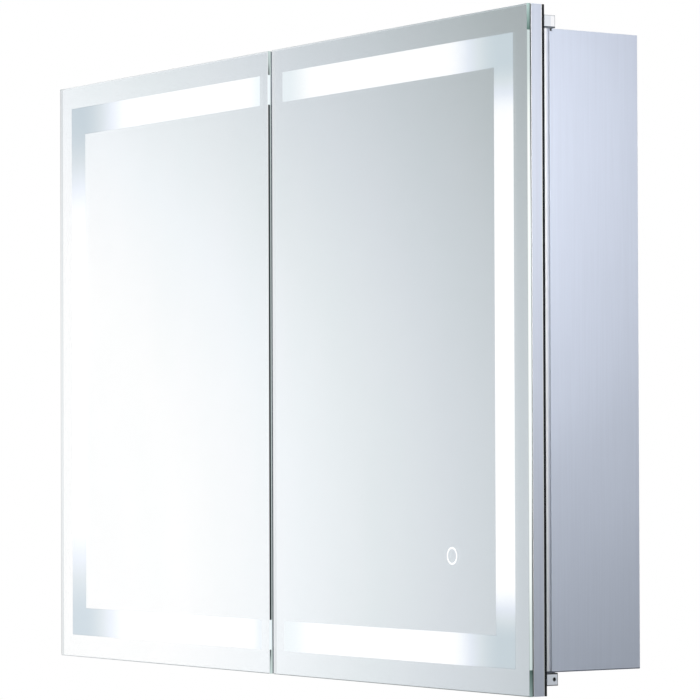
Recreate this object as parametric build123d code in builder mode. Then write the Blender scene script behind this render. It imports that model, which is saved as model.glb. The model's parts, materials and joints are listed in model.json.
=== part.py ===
from build123d import *
import os

os.makedirs("parts", exist_ok=True)

# Frame: origin at the centre of the wall plane, +X to the right as seen from the front,
# +Z up, and the doors face -Y.  All sizes are in millimetres.

# ---------------------------------------------------------------- overall sizes
CABINET_W = 914.0
CABINET_H = 660.0
DOOR_OVERHANG = 22.5
BODY_D = 111.0
DOOR_GAP = 8.0
DOOR_TO_BODY = 1.5

# ---------------------------------------------------------------- running and seat clearances
RUNNING = 0.05
SLIP = 0.1
PAST = 1.0  # how far a cutting shape runs past the faces it cuts

# ---------------------------------------------------------------- door layers, front to back
GLASS_T = 4.0
TAPE_T = 0.8
FRAME_T = 13.0
INNER_MIRROR_T = 3.0
ARRIS = 0.5

# ---------------------------------------------------------------- door frame
RAIL_W = 18.0
INNER_STILE_W = 18.0
FRAME_CHAMFER = 0.4
FRAME_WALL = 1.5
TAPE_W = 12.0
TAPE_INSET = 0.6
KEY_LEG = 42.0

# ---------------------------------------------------------------- lit band
BAND_MARGIN = 25.0
BAND_W = 31.5
DIFFUSER_SPREAD = 3.0
DIFFUSER_T = 3.0
LED_TAPE_W = 8.0
LED_TAPE_T = 0.8
LED_CHIP = 3.0
LED_CHIP_H = 0.8
LED_PITCH = 30.0
STRIP_END_GAP = 6.0
RING_FROM_OUTER = 129.2
RING_FROM_BOTTOM = 131.3
SENSOR_R = 15.0
SENSOR_T = 1.6
SENSOR_CHIP = 9.0
SENSOR_CHIP_H = 2.5

# ---------------------------------------------------------------- pivot hinge
PIVOT_FROM_EDGE = 5.5
PIVOT_BEHIND_DOOR = 8.5
PIN_R = 1.5
PIN_IN_BUSH = 12.0
HINGE_W = 26.0
HINGE_D = 13.2
HINGE_H = 12.0
HINGE_GAP = 0.8
HINGE_ROOF = 1.5
HINGE_ROUND = 1.2
WASHER_R = 4.2
WASHER_T = 0.4
HINGE_SCREW_R = 1.5
HINGE_SCREW_HEAD_R = 2.9
HINGE_SCREW_HEAD_T = 1.6
HINGE_SCREW_L = 24.0
HINGE_SCREW_U = (12.5, 21.0)
HINGE_SCREW_UP = 7.7
RECESS_HALF_L = 1.8
RECESS_HALF_W = 0.35
RECESS_DEPTH = 0.9
SET_SCREW_R = 2.0
SET_SCREW_L = 3.0
SET_SCREW_SUNK = 0.9
SET_SCREW_HEX = 2.0

# ---------------------------------------------------------------- cabinet body
SIDE_T = 12.0
SIDE_WALL = 1.6
LIP_INSET = 1.5
LIP_T = 2.2
LIP_ROUND = 0.7
EDGE_ROUND = 0.5
GROOVE_DEEPER = 1.0
GROOVE_W = 2.0
NOSE_WALL = 1.8
PIVOT_CHAMBER_D = 20.0
BACK_RIB_W = 12.0
BACK_RIB_T = 1.6
BACK_T = 1.2
SHEET_T = 1.6
FLANGE_H = 14.0
BUSH_H = 16.0
PLUG_H = 4.0
NOTCH_W = 3.6
NOTCH_H = 2.6

# ---------------------------------------------------------------- shelves
SHELF_T = 5.0
SHELF_D = 85.0
SHELF_SIDE_GAP = 1.5
SHELF_BACK_GAP = 6.0
SHELF_ROUND = 3.0
PIN_HOLE_R = 2.5
PIN_PITCH = 32.0
PIN_COUNT = 15
FIRST_PIN_UP = 51.5
FRONT_PIN_IN = 13.0
REAR_PIN_IN = 24.0
SHELF_HOLES = (3, 7, 11)
SUPPORT_REACH = 8.0
SUPPORT_HALF = 5.0
SUPPORT_STUB_PAST = 1.0

# ---------------------------------------------------------------- back mirror in the cabinet
BACK_MIRROR_SIDE_GAP = 5.0
BACK_MIRROR_TOP_GAP = 10.9
BACK_MIRROR_UP = 58.5
BACK_MIRROR_T = 3.0
CLIP_W = 16.0
CLIP_H = 14.0
CLIP_LAP = 5.0
CLIP_T = 1.2
CLIP_FROM_SIDE = 128.0

# ---------------------------------------------------------------- electrical bay
BAY_D = 45.0
COVER_T = 1.2
COVER_LIP = 12.0
COVER_SIDE_GAP = 0.2
COVER_SCREW_FROM_SIDE = 145.0
DRIVER_W = 180.0
DRIVER_H = 40.0
DRIVER_T = 28.0
DRIVER_TOP_GAP = 3.5
DRIVER_FLOOR_GAP = 2.9
DRIVER_ROUND = 2.0
DRIVER_EAR = 12.0
DRIVER_EAR_T = 2.0
TERMINAL_W = 44.0
TERMINAL_H = 22.0
TERMINAL_T = 18.0
TERMINAL_FROM_DRIVER = 41.0
TERMINAL_WAYS = 4
WIRE_ENTRY_R = 2.2
WIRE_ENTRY_DEEP = 8.0
WIRE_SCREW_R = 2.0
WIRE_SCREW_DEEP = 5.0
CABLE_FROM_TERMINAL = 73.0
CABLE_TOP_GAP = 3.0
CABLE_HOLE_R = 11.0
CABLE_BORE_R = 8.0
GROMMET_LIP = 2.5
GROMMET_LIP_T = 3.5

# ---------------------------------------------------------------- door cable grommets
DOOR_LEAD_HOLE_R = 4.0
DOOR_LEAD_BORE_R = 2.5
DOOR_LEAD_LIP_R = 6.0
DOOR_LEAD_LIP_T = 0.8
BODY_LEAD_FROM_SIDE = 20.0
DOOR_LEAD_FROM_EDGE = 62.0
DOOR_LEAD_GAP = 4.0

# ---------------------------------------------------------------- fasteners
WALL_SCREW_R = 3.0
WALL_SCREW_X = 203.2
WALL_SCREW_FROM_END = 37.5
RIVET_R = 2.0
RIVET_HEAD_R = 3.5
RIVET_HEAD_T = 1.2
RIVET_COUNT = 4
RIVET_FROM_RIB = 53.0
RIVET_FROM_END = 107.5
CASE_SCREW_R = 2.0
CASE_SCREW_HEAD_R = 3.5
CASE_SCREW_HEAD_T = 2.0
CASE_SCREW_L = 7.0
CASE_SCREW_Y = (-75.0, -25.0)
SMALL_SCREW_R = 1.5
SMALL_SCREW_HEAD_R = 2.8
SMALL_SCREW_HEAD_T = 1.4

# ---------------------------------------------------------------- catches and bumpers
CATCH_X = 24.0
CATCH_W = 36.0
CATCH_D = 16.0
CATCH_H = 11.0
CATCH_NOSE_W = 26.0
CATCH_NOSE_H = 7.0
CATCH_NOSE_OUT = 0.3
STRIKE_W = 24.0
STRIKE_H = 12.0
STRIKE_T = 0.6
BUMPER_R = 4.0
BUMPER_T = 0.9
BUMPER_FROM_MIDDLE = 70.0
BUMPER_FROM_SIDE = 115.0

# ---------------------------------------------------------------- planes that several pieces share
HALF_W = CABINET_W / 2
HALF_H = CABINET_H / 2
BODY_H = CABINET_H - 2 * DOOR_OVERHANG
HALF_BODY = BODY_H / 2
LIP_Y = -BODY_D
DOOR_BACK_Y = LIP_Y - DOOR_TO_BODY
FRAME_BACK_Y = DOOR_BACK_Y - INNER_MIRROR_T
FRAME_FRONT_Y = FRAME_BACK_Y - FRAME_T
GLASS_BACK_Y = FRAME_FRONT_Y - TAPE_T
DOOR_FRONT_Y = GLASS_BACK_Y - GLASS_T
DOOR_INNER_X = DOOR_GAP / 2
PIVOT_X = HALF_W - PIVOT_FROM_EDGE
PIVOT_Y = DOOR_BACK_Y + PIVOT_BEHIND_DOOR
INNER_X = HALF_W - SIDE_T
SHEET_IN_Z = HALF_BODY - SHEET_T
FLANGE_Z = HALF_BODY - FLANGE_H
RIB_X = INNER_X - BACK_RIB_W
FLANGE_MID_Z = (SHEET_IN_Z + FLANGE_Z) / 2
DRIVER_Z = FLANGE_Z - DRIVER_TOP_GAP - DRIVER_H / 2
BAY_FLOOR_Z = DRIVER_Z - DRIVER_H / 2 - DRIVER_FLOOR_GAP - COVER_T
TERMINAL_X = DRIVER_W / 2 + DRIVER_EAR + TERMINAL_FROM_DRIVER + TERMINAL_W / 2
CABLE_X = TERMINAL_X + TERMINAL_W / 2 + CABLE_FROM_TERMINAL
CABLE_Z = FLANGE_Z - CABLE_TOP_GAP - CABLE_HOLE_R - GROMMET_LIP
BACK_MIRROR_HALF_W = RIB_X - BACK_MIRROR_SIDE_GAP
BACK_MIRROR_Z0 = -FLANGE_Z + BACK_MIRROR_UP
BACK_MIRROR_Z1 = BAY_FLOOR_Z - BACK_MIRROR_TOP_GAP
PIN_FIRST_Z = -HALF_BODY + FIRST_PIN_UP
PIN_Y = (-SHELF_BACK_GAP - REAR_PIN_IN, -SHELF_BACK_GAP - SHELF_D + FRONT_PIN_IN)
WALL_SCREW_Z = HALF_BODY - WALL_SCREW_FROM_END
BODY_LEAD_X = INNER_X - BODY_LEAD_FROM_SIDE
DOOR_LEAD_X = HALF_W - DOOR_LEAD_FROM_EDGE
DOOR_LEAD_Z = HALF_H - RAIL_W - DOOR_LEAD_LIP_R - DOOR_LEAD_GAP
BUMPER_X = (BUMPER_FROM_MIDDLE, INNER_X - BUMPER_FROM_SIDE)


def spaced(half, count):
    """Evenly spaced places from -half to +half."""
    return [-half + 2 * half * index / (count - 1) for index in range(count)]


RIVET_X = spaced(RIB_X - RIVET_FROM_RIB, RIVET_COUNT)
RIVET_Z = spaced(HALF_BODY - RIVET_FROM_END, RIVET_COUNT)
CLIP_X = spaced(BACK_MIRROR_HALF_W - CLIP_FROM_SIDE, 3)
COVER_SCREW_X = spaced(INNER_X - COVER_SCREW_FROM_SIDE, 3)
COVER_SCREW_Y = -BAY_D - COVER_T - COVER_LIP / 2


def block(x0, x1, y0, y1, z0, z1, mode=Mode.ADD):
    """A box between three pairs of planes."""
    with Locations(((x0 + x1) / 2, (y0 + y1) / 2, (z0 + z1) / 2)):
        Box(abs(x1 - x0), abs(y1 - y0), abs(z1 - z0), mode=mode)


def rod_x(x0, x1, y, z, r, mode=Mode.ADD):
    """A round bar or hole along X."""
    with Locations(Location(((x0 + x1) / 2, y, z), (0, 90, 0))):
        Cylinder(r, abs(x1 - x0), mode=mode)


def rod_y(x, y0, y1, z, r, mode=Mode.ADD):
    """A round bar or hole along Y."""
    with Locations(Location((x, (y0 + y1) / 2, z), (90, 0, 0))):
        Cylinder(r, abs(y1 - y0), mode=mode)


def rod_z(x, y, z0, z1, r, mode=Mode.ADD):
    """A round bar or hole along Z."""
    with Locations((x, y, (z0 + z1) / 2)):
        Cylinder(r, abs(z1 - z0), mode=mode)


def rods_x(x0, x1, points, r, mode=Mode.ADD):
    """Equal round bars or holes along X, one at each (y, z) point."""
    with Locations(*[((x0 + x1) / 2, y, z) for y, z in points]):
        Cylinder(r, abs(x1 - x0), rotation=(0, 90, 0), mode=mode)


def rods_y(y0, y1, points, r, mode=Mode.ADD):
    """Equal round bars or holes along Y, one at each (x, z) point."""
    with Locations(*[(x, (y0 + y1) / 2, z) for x, z in points]):
        Cylinder(r, abs(y1 - y0), rotation=(90, 0, 0), mode=mode)


def finish(part, name):
    """Names a finished piece and writes it."""
    part.label = name
    export_step(part, f"parts/{name}.step")


def both_sides(right_part, name):
    """Writes a right-hand piece and its left-hand copy, reflected across the middle plane."""
    finish(right_part, f"right_{name}")
    with BuildPart() as left:
        mirror(right_part, about=Plane.YZ)
    finish(left.part, f"left_{name}")


# ================================================================ cabinet body
# Side wall: one box-section extrusion the height of the body.  Its front nose carries the thin
# lip and the shadow groove, the front chamber takes the pivot bush, and a rib at the rear holds
# the back sheet.
chamber_x0 = INNER_X + SIDE_WALL
chamber_x1 = HALF_W - SIDE_WALL
nose_x1 = HALF_W - LIP_INSET - GROOVE_DEEPER - SIDE_WALL
groove_end_y = LIP_Y + LIP_T + GROOVE_W
chamber_y0 = LIP_Y + NOSE_WALL
chamber_step_y = groove_end_y + SIDE_WALL
chamber_y1 = chamber_y0 + PIVOT_CHAMBER_D
rear_chamber_y0 = chamber_y1 + SIDE_WALL
rear_chamber_y1 = -BACK_T - BACK_RIB_T
side_outline = [
    (INNER_X, LIP_Y),
    (HALF_W - LIP_INSET, LIP_Y),
    (HALF_W - LIP_INSET, LIP_Y + LIP_T),
    (HALF_W - LIP_INSET - GROOVE_DEEPER, LIP_Y + LIP_T),
    (HALF_W - LIP_INSET - GROOVE_DEEPER, groove_end_y),
    (HALF_W, groove_end_y),
    (HALF_W, 0),
    (INNER_X, 0),
    (INNER_X, -BACK_T),
    (RIB_X, -BACK_T),
    (RIB_X, -BACK_T - BACK_RIB_T),
    (INNER_X, -BACK_T - BACK_RIB_T),
]


def pivot_chamber(inset):
    """Corner points of the front chamber, drawn in by the inset on every side."""
    return [
        (chamber_x0 + inset, chamber_y0 + inset),
        (nose_x1 - inset, chamber_y0 + inset),
        (nose_x1 - inset, chamber_step_y + inset),
        (chamber_x1 - inset, chamber_step_y + inset),
        (chamber_x1 - inset, chamber_y1 - inset),
        (chamber_x0 + inset, chamber_y1 - inset),
    ]


with BuildPart() as right_side:
    with BuildSketch(Plane.XY.offset(-HALF_BODY)) as right_outline:
        with BuildLine():
            Polyline(side_outline, close=True)
        make_face()
        lip_corners = right_outline.vertices().filter_by_position(
            Axis.X, HALF_W - LIP_INSET - SLIP, HALF_W - LIP_INSET + SLIP)
        fillet(lip_corners, LIP_ROUND)
        fillet(right_outline.vertices().group_by(Axis.X)[-1], EDGE_ROUND)
        with BuildLine():
            Polyline(pivot_chamber(0), close=True)
        make_face(mode=Mode.SUBTRACT)
        with Locations(((chamber_x0 + chamber_x1) / 2, (rear_chamber_y0 + rear_chamber_y1) / 2)):
            Rectangle(chamber_x1 - chamber_x0, rear_chamber_y1 - rear_chamber_y0, mode=Mode.SUBTRACT)
    extrude(amount=BODY_H)
    # shelf pin holes through the inner wall
    pin_points = [(y, PIN_FIRST_Z + i * PIN_PITCH) for y in PIN_Y for i in range(PIN_COUNT)]
    rods_x(INNER_X - PAST, chamber_x0 + PAST, pin_points, PIN_HOLE_R + RUNNING, Mode.SUBTRACT)
    # holes for the case screws and for the rivets of the back sheet
    case_points = [(y, end * FLANGE_MID_Z) for y in CASE_SCREW_Y for end in (-1, 1)]
    rods_x(INNER_X - PAST, chamber_x0 + PAST, case_points, CASE_SCREW_R + RUNNING, Mode.SUBTRACT)
    rib_points = [((RIB_X + INNER_X) / 2, z) for z in RIVET_Z]
    rods_y(-BACK_T - BACK_RIB_T - PAST, 0, rib_points, RIVET_R + RUNNING, Mode.SUBTRACT)
    # small notch in the top edge of the outer wall, just in front of the pivot
    block(chamber_x1 - SLIP, HALF_W + PAST, groove_end_y + SLIP, groove_end_y + SLIP + NOTCH_W,
          HALF_BODY - NOTCH_H, HALF_BODY + PAST, Mode.SUBTRACT)
both_sides(right_side.part, "side_panel")

# Pivot bush: a moulded plug in each end of the front chamber, bored for the pivot pin.
with BuildPart() as pivot_bushes:
    for base_z in (-HALF_BODY, HALF_BODY - BUSH_H):
        with BuildSketch(Plane.XY.offset(base_z)):
            with BuildLine():
                Polyline(pivot_chamber(SLIP), close=True)
            make_face()
            with Locations((PIVOT_X, PIVOT_Y)):
                Circle(PIN_R + RUNNING, mode=Mode.SUBTRACT)
        extrude(amount=BUSH_H)
    mirror(about=Plane.YZ)
finish(pivot_bushes.part, "pivot_bushes")

# Plug that closes each end of the long rear chamber.
with BuildPart() as end_plugs:
    for base_z in (-HALF_BODY, HALF_BODY - PLUG_H):
        block(chamber_x0 + SLIP, chamber_x1 - SLIP, rear_chamber_y0 + SLIP, rear_chamber_y1 - SLIP,
              base_z, base_z + PLUG_H)
    mirror(about=Plane.YZ)
finish(end_plugs.part, "end_plugs")

# Back sheet with four wall-screw holes and the hole for the supply cable.
rivet_columns = [(side * (RIB_X + INNER_X) / 2, z) for side in (-1, 1) for z in RIVET_Z]
rivet_rows = [(x, end * FLANGE_MID_Z) for end in (-1, 1) for x in RIVET_X]
driver_screws = [(side * (DRIVER_W / 2 + DRIVER_EAR / 2), DRIVER_Z) for side in (-1, 1)]
with BuildPart() as back_panel:
    block(-INNER_X, INNER_X, -BACK_T, 0, -HALF_BODY, HALF_BODY)
    wall_points = [(side * WALL_SCREW_X, end * WALL_SCREW_Z) for side in (-1, 1) for end in (-1, 1)]
    rods_y(-BACK_T - PAST, PAST, wall_points, WALL_SCREW_R, Mode.SUBTRACT)
    rod_y(CABLE_X, -BACK_T - PAST, PAST, CABLE_Z, CABLE_HOLE_R, Mode.SUBTRACT)
    rods_y(-BACK_T - PAST, PAST, rivet_columns + rivet_rows, RIVET_R + RUNNING, Mode.SUBTRACT)
    rods_y(-BACK_T - PAST, PAST, driver_screws, SMALL_SCREW_R + RUNNING, Mode.SUBTRACT)
finish(back_panel.part, "back_panel")


# Top and bottom: a flat sheet between the side walls, with flanges turned into the cabinet.  The
# flanges are strips welded to the sheet: one bent to a U along the front and both ends, and a
# straight one along the rear, between the ribs of the side walls.
def tray_sheet(end, screw_x=()):
    """Flat sheet of a tray, with holes at screw_x; end is +1 for the top and -1 for the bottom."""
    with BuildPart() as sheet:
        block(-INNER_X, INNER_X, LIP_Y, -BACK_T, end * SHEET_IN_Z, end * HALF_BODY)
        for side in (-1, 1):
            # corner relief round the rear rib of the side wall
            block(side * (RIB_X - SLIP), side * (INNER_X + PAST), -BACK_T - BACK_RIB_T - SLIP, PAST,
                  end * FLANGE_Z, end * (HALF_BODY + PAST), Mode.SUBTRACT)
        for x in screw_x:
            rod_z(x, COVER_SCREW_Y, end * (SHEET_IN_Z - PAST), end * (HALF_BODY + PAST),
                  SMALL_SCREW_R + RUNNING, Mode.SUBTRACT)
    return sheet.part


def tray_flanges(end, lead_x=()):
    """Welded flanges of a tray, with holes for the door leads at lead_x in the front one."""
    with BuildPart() as strips:
        block(-INNER_X, INNER_X, LIP_Y, LIP_Y + SHEET_T, end * FLANGE_Z, end * SHEET_IN_Z)
        for side in (-1, 1):
            block(side * (INNER_X - SHEET_T), side * INNER_X, LIP_Y, -BACK_T - BACK_RIB_T - SLIP,
                  end * FLANGE_Z, end * SHEET_IN_Z)
        block(-RIB_X + SLIP, RIB_X - SLIP, -BACK_T - BACK_RIB_T, -BACK_T,
              end * FLANGE_Z, end * SHEET_IN_Z)
        for side in (-1, 1):
            for screw_y in CASE_SCREW_Y:
                rod_x(side * (INNER_X - SHEET_T - PAST), side * (INNER_X + PAST), screw_y,
                      end * FLANGE_MID_Z, CASE_SCREW_R + RUNNING, Mode.SUBTRACT)
            # window for the magnet nose in the front flange
            block(side * CATCH_X - CATCH_NOSE_W / 2 - SLIP, side * CATCH_X + CATCH_NOSE_W / 2 + SLIP,
                  LIP_Y - PAST, LIP_Y + SHEET_T + PAST,
                  end * FLANGE_MID_Z - CATCH_NOSE_H / 2 - SLIP,
                  end * FLANGE_MID_Z + CATCH_NOSE_H / 2 + SLIP, Mode.SUBTRACT)
        rods_y(-BACK_T - BACK_RIB_T - PAST, PAST, [(x, end * FLANGE_MID_Z) for x in RIVET_X],
               RIVET_R + RUNNING, Mode.SUBTRACT)
        for x in lead_x:
            rod_y(x, LIP_Y - PAST, LIP_Y + SHEET_T + PAST, end * FLANGE_MID_Z,
                  DOOR_LEAD_HOLE_R, Mode.SUBTRACT)
    return strips.part


def tray(sheet, strips):
    """The sheet and its flanges as one piece of separate, touching solids."""
    return Compound([*sheet.solids(), *strips.solids()])


# the top also takes the two door leads and the screws of the electrical cover
finish(tray(tray_sheet(1, COVER_SCREW_X), tray_flanges(1, (-BODY_LEAD_X, BODY_LEAD_X))), "top_panel")
finish(tray(tray_sheet(-1), tray_flanges(-1)), "bottom_panel")

# Rivets of the back sheet: the head sits inside on the flange or rib, the tail is flush behind.
with BuildPart() as back_rivets:
    rivet_seat_y = -BACK_T - BACK_RIB_T
    rods_y(rivet_seat_y, 0, rivet_columns + rivet_rows, RIVET_R)
    rods_y(rivet_seat_y - RIVET_HEAD_T, rivet_seat_y, rivet_columns + rivet_rows, RIVET_HEAD_R)
finish(back_rivets.part, "back_rivets")

# Case screws: from inside, through the end flanges of the trays into the side walls.
with BuildPart() as case_screws:
    for side in (-1, 1):
        for end in (-1, 1):
            for screw_y in CASE_SCREW_Y:
                head_x = INNER_X - SHEET_T
                rod_x(side * (head_x - CASE_SCREW_HEAD_T), side * head_x, screw_y,
                      end * FLANGE_MID_Z, CASE_SCREW_HEAD_R)
                rod_x(side * head_x, side * (head_x + CASE_SCREW_L), screw_y,
                      end * FLANGE_MID_Z, CASE_SCREW_R)
finish(case_screws.part, "case_screws")

# Mirror glass on the back sheet, between the two columns of rivets.
with BuildPart() as back_mirror:
    block(-BACK_MIRROR_HALF_W, BACK_MIRROR_HALF_W, -BACK_T - BACK_MIRROR_T, -BACK_T,
          BACK_MIRROR_Z0, BACK_MIRROR_Z1)
    chamfer(back_mirror.faces().sort_by(Axis.Y)[0].edges(), ARRIS)
finish(back_mirror.part, "back_mirror")

# Clips that hook over the top and bottom edges of the back mirror.
with BuildPart() as mirror_clips:
    for x in CLIP_X:
        for end, mirror_z in ((-1, BACK_MIRROR_Z0), (1, BACK_MIRROR_Z1)):
            edge_z = mirror_z + end * SLIP
            front_y = -BACK_T - BACK_MIRROR_T
            block(x - CLIP_W / 2, x + CLIP_W / 2, front_y - CLIP_T, -BACK_T,
                  edge_z, edge_z + end * (CLIP_H - CLIP_LAP))
            block(x - CLIP_W / 2, x + CLIP_W / 2, front_y - CLIP_T, front_y,
                  edge_z - end * CLIP_LAP, edge_z)
finish(mirror_clips.part, "mirror_clips")


# ================================================================ shelves
def shelf(hole_index):
    """Glass shelf that lies on the four supports at the given hole height."""
    under_z = PIN_FIRST_Z + hole_index * PIN_PITCH + PIN_HOLE_R
    half = INNER_X - SHELF_SIDE_GAP
    rear_y = -SHELF_BACK_GAP
    with BuildPart() as plate:
        block(-half, half, rear_y - SHELF_D, rear_y, under_z, under_z + SHELF_T)
        fillet(plate.edges().filter_by(Axis.Z), SHELF_ROUND)
        chamfer(plate.edges().filter_by(Axis.X), ARRIS)
    return plate.part


finish(shelf(SHELF_HOLES[0]), "shelf_lower")
finish(shelf(SHELF_HOLES[1]), "shelf_middle")
finish(shelf(SHELF_HOLES[2]), "shelf_upper")

# Shelf supports: a stub in the side wall and a pad under the glass, four to a shelf.
with BuildPart() as shelf_supports:
    for index in SHELF_HOLES:
        for side in (-1, 1):
            for pin_y in PIN_Y:
                pin_z = PIN_FIRST_Z + index * PIN_PITCH
                rod_x(side * INNER_X, side * (chamber_x0 + SUPPORT_STUB_PAST), pin_y, pin_z, PIN_HOLE_R)
                block(side * (INNER_X - SUPPORT_REACH), side * INNER_X,
                      pin_y - SUPPORT_HALF, pin_y + SUPPORT_HALF,
                      pin_z - PIN_HOLE_R, pin_z + PIN_HOLE_R)
finish(shelf_supports.part, "shelf_supports")

# ================================================================ electrical bay
# Angle cover across the full width, screwed up into the top tray.
cover_x = INNER_X - SHEET_T - COVER_SIDE_GAP
with BuildPart() as driver_cover:
    block(-cover_x, cover_x, -BAY_D - COVER_T, -BAY_D, BAY_FLOOR_Z, SHEET_IN_Z)
    block(-cover_x, cover_x, -BAY_D, -BACK_T - BACK_RIB_T - RIVET_HEAD_T - SLIP,
          BAY_FLOOR_Z, BAY_FLOOR_Z + COVER_T)
    block(-cover_x, cover_x, -BAY_D - COVER_T - COVER_LIP, -BAY_D - COVER_T,
          SHEET_IN_Z - COVER_T, SHEET_IN_Z)
    for x in COVER_SCREW_X:
        rod_z(x, COVER_SCREW_Y, SHEET_IN_Z - COVER_T - PAST, SHEET_IN_Z + PAST,
              SMALL_SCREW_R + RUNNING, Mode.SUBTRACT)
finish(driver_cover.part, "driver_cover")

# Driver for the lit bands: a closed case with two screwed ears, flat on the back sheet.
with BuildPart() as led_driver:
    block(-DRIVER_W / 2, DRIVER_W / 2, -BACK_T - DRIVER_T, -BACK_T,
          DRIVER_Z - DRIVER_H / 2, DRIVER_Z + DRIVER_H / 2)
    fillet(led_driver.edges().filter_by(Axis.Y), DRIVER_ROUND)
    for side in (-1, 1):
        block(side * (DRIVER_W / 2 - DRIVER_ROUND), side * (DRIVER_W / 2 + DRIVER_EAR),
              -BACK_T - DRIVER_EAR_T, -BACK_T, DRIVER_Z - DRIVER_EAR / 2, DRIVER_Z + DRIVER_EAR / 2)
    for x, z in driver_screws:
        rod_y(x, -BACK_T - DRIVER_EAR_T - PAST, 0, z, SMALL_SCREW_R + RUNNING, Mode.SUBTRACT)
finish(led_driver.part, "led_driver")

# Small pan-head screws of the bay: two through the driver's ears, three up through the cover.
with BuildPart() as bay_screws:
    ear_seat_y = -BACK_T - DRIVER_EAR_T
    for x, z in driver_screws:
        rod_y(x, ear_seat_y - SMALL_SCREW_HEAD_T, ear_seat_y, z, SMALL_SCREW_HEAD_R)
        rod_y(x, ear_seat_y, 0, z, SMALL_SCREW_R)
    cover_seat_z = SHEET_IN_Z - COVER_T
    for x in COVER_SCREW_X:
        rod_z(x, COVER_SCREW_Y, cover_seat_z - SMALL_SCREW_HEAD_T, cover_seat_z, SMALL_SCREW_HEAD_R)
        rod_z(x, COVER_SCREW_Y, cover_seat_z, HALF_BODY, SMALL_SCREW_R)
finish(bay_screws.part, "bay_screws")

# Terminal block for the supply cable, with one wire entry per way.
with BuildPart() as terminal_block:
    block(TERMINAL_X - TERMINAL_W / 2, TERMINAL_X + TERMINAL_W / 2, -BACK_T - TERMINAL_T, -BACK_T,
          CABLE_Z - TERMINAL_H / 2, CABLE_Z + TERMINAL_H / 2)
    for way in range(TERMINAL_WAYS):
        way_x = TERMINAL_X + (way - (TERMINAL_WAYS - 1) / 2) * TERMINAL_W / TERMINAL_WAYS
        rod_z(way_x, -BACK_T - TERMINAL_T / 2, CABLE_Z - TERMINAL_H / 2 - PAST,
              CABLE_Z - TERMINAL_H / 2 + WIRE_ENTRY_DEEP, WIRE_ENTRY_R, Mode.SUBTRACT)
        rod_y(way_x, -BACK_T - TERMINAL_T - PAST, -BACK_T - TERMINAL_T + WIRE_SCREW_DEEP, CABLE_Z,
              WIRE_SCREW_R, Mode.SUBTRACT)
finish(terminal_block.part, "terminal_block")


def grommet(x, z, y_out, sheet_t, hole_r, bore_r, lip_r, lip_t):
    """Rubber ring in a sheet hole; y_out is the outer face of the sheet nearer the front."""
    with BuildPart() as ring:
        rod_y(x, y_out, y_out + sheet_t, z, hole_r - RUNNING)
        rod_y(x, y_out - lip_t, y_out, z, lip_r)
        rod_y(x, y_out + sheet_t, y_out + sheet_t + lip_t, z, lip_r)
        rod_y(x, y_out - lip_t - PAST, y_out + sheet_t + lip_t + PAST, z, bore_r, Mode.SUBTRACT)
    return ring.part


# Grommet for the supply cable: flush with the wall plane behind, so only its inner lip laps
# the sheet.
with BuildPart() as cable_grommet:
    rod_y(CABLE_X, -BACK_T, 0, CABLE_Z, CABLE_HOLE_R - RUNNING)
    rod_y(CABLE_X, -BACK_T - GROMMET_LIP_T, -BACK_T, CABLE_Z, CABLE_HOLE_R + GROMMET_LIP)
    rod_y(CABLE_X, -BACK_T - GROMMET_LIP_T - PAST, PAST, CABLE_Z, CABLE_BORE_R, Mode.SUBTRACT)
finish(cable_grommet.part, "cable_grommet")

with BuildPart() as door_lead_grommets:
    for side in (-1, 1):
        add(grommet(side * BODY_LEAD_X, FLANGE_MID_Z, LIP_Y, SHEET_T, DOOR_LEAD_HOLE_R,
                    DOOR_LEAD_BORE_R, DOOR_LEAD_LIP_R, DOOR_LEAD_LIP_T))
finish(door_lead_grommets.part, "door_lead_grommets")

# ================================================================ catches and bumpers
with BuildPart() as magnetic_catches:
    for side in (-1, 1):
        for end in (-1, 1):
            x = side * CATCH_X
            block(x - CATCH_W / 2, x + CATCH_W / 2, LIP_Y + SHEET_T, LIP_Y + SHEET_T + CATCH_D,
                  end * (SHEET_IN_Z - CATCH_H), end * SHEET_IN_Z)
            block(x - CATCH_NOSE_W / 2, x + CATCH_NOSE_W / 2, LIP_Y - CATCH_NOSE_OUT, LIP_Y + SHEET_T,
                  end * FLANGE_MID_Z - CATCH_NOSE_H / 2, end * FLANGE_MID_Z + CATCH_NOSE_H / 2)
finish(magnetic_catches.part, "magnetic_catches")

with BuildPart() as door_bumpers:
    for side in (-1, 1):
        for end in (-1, 1):
            for x in BUMPER_X:
                rod_y(side * x, LIP_Y - BUMPER_T, LIP_Y, end * FLANGE_MID_Z, BUMPER_R)
finish(door_bumpers.part, "door_bumpers")

# ================================================================ doors
# Everything is drawn for the right-hand door and reflected for the left-hand one.
door_outer = HALF_W
door_inner = DOOR_INNER_X


def ring_member(inset, rail_w, inner_w, which):
    """Corners, in X and Z, of one mitred member of a rectangular ring round the door.

    inset is how far the ring stands in from the door's edge, rail_w is the width of its outer,
    top and bottom members, inner_w that of the inner one, and which names the member.
    """
    x0, x1 = door_inner + inset, door_outer - inset
    z0, z1 = -HALF_H + inset, HALF_H - inset
    u0, u1 = door_inner + inner_w, door_outer - rail_w
    v0, v1 = -HALF_H + rail_w, HALF_H - rail_w
    members = {
        "outer": [(x1, z0), (x1, z1), (u1, v1), (u1, v0)],
        "inner": [(x0, z0), (x0, z1), (u0, v1), (u0, v0)],
        "top": [(x0, z1), (x1, z1), (u1, v1), (u0, v1)],
        "bottom": [(x0, z0), (x1, z0), (u1, v0), (u0, v0)],
    }
    return members[which]


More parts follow.
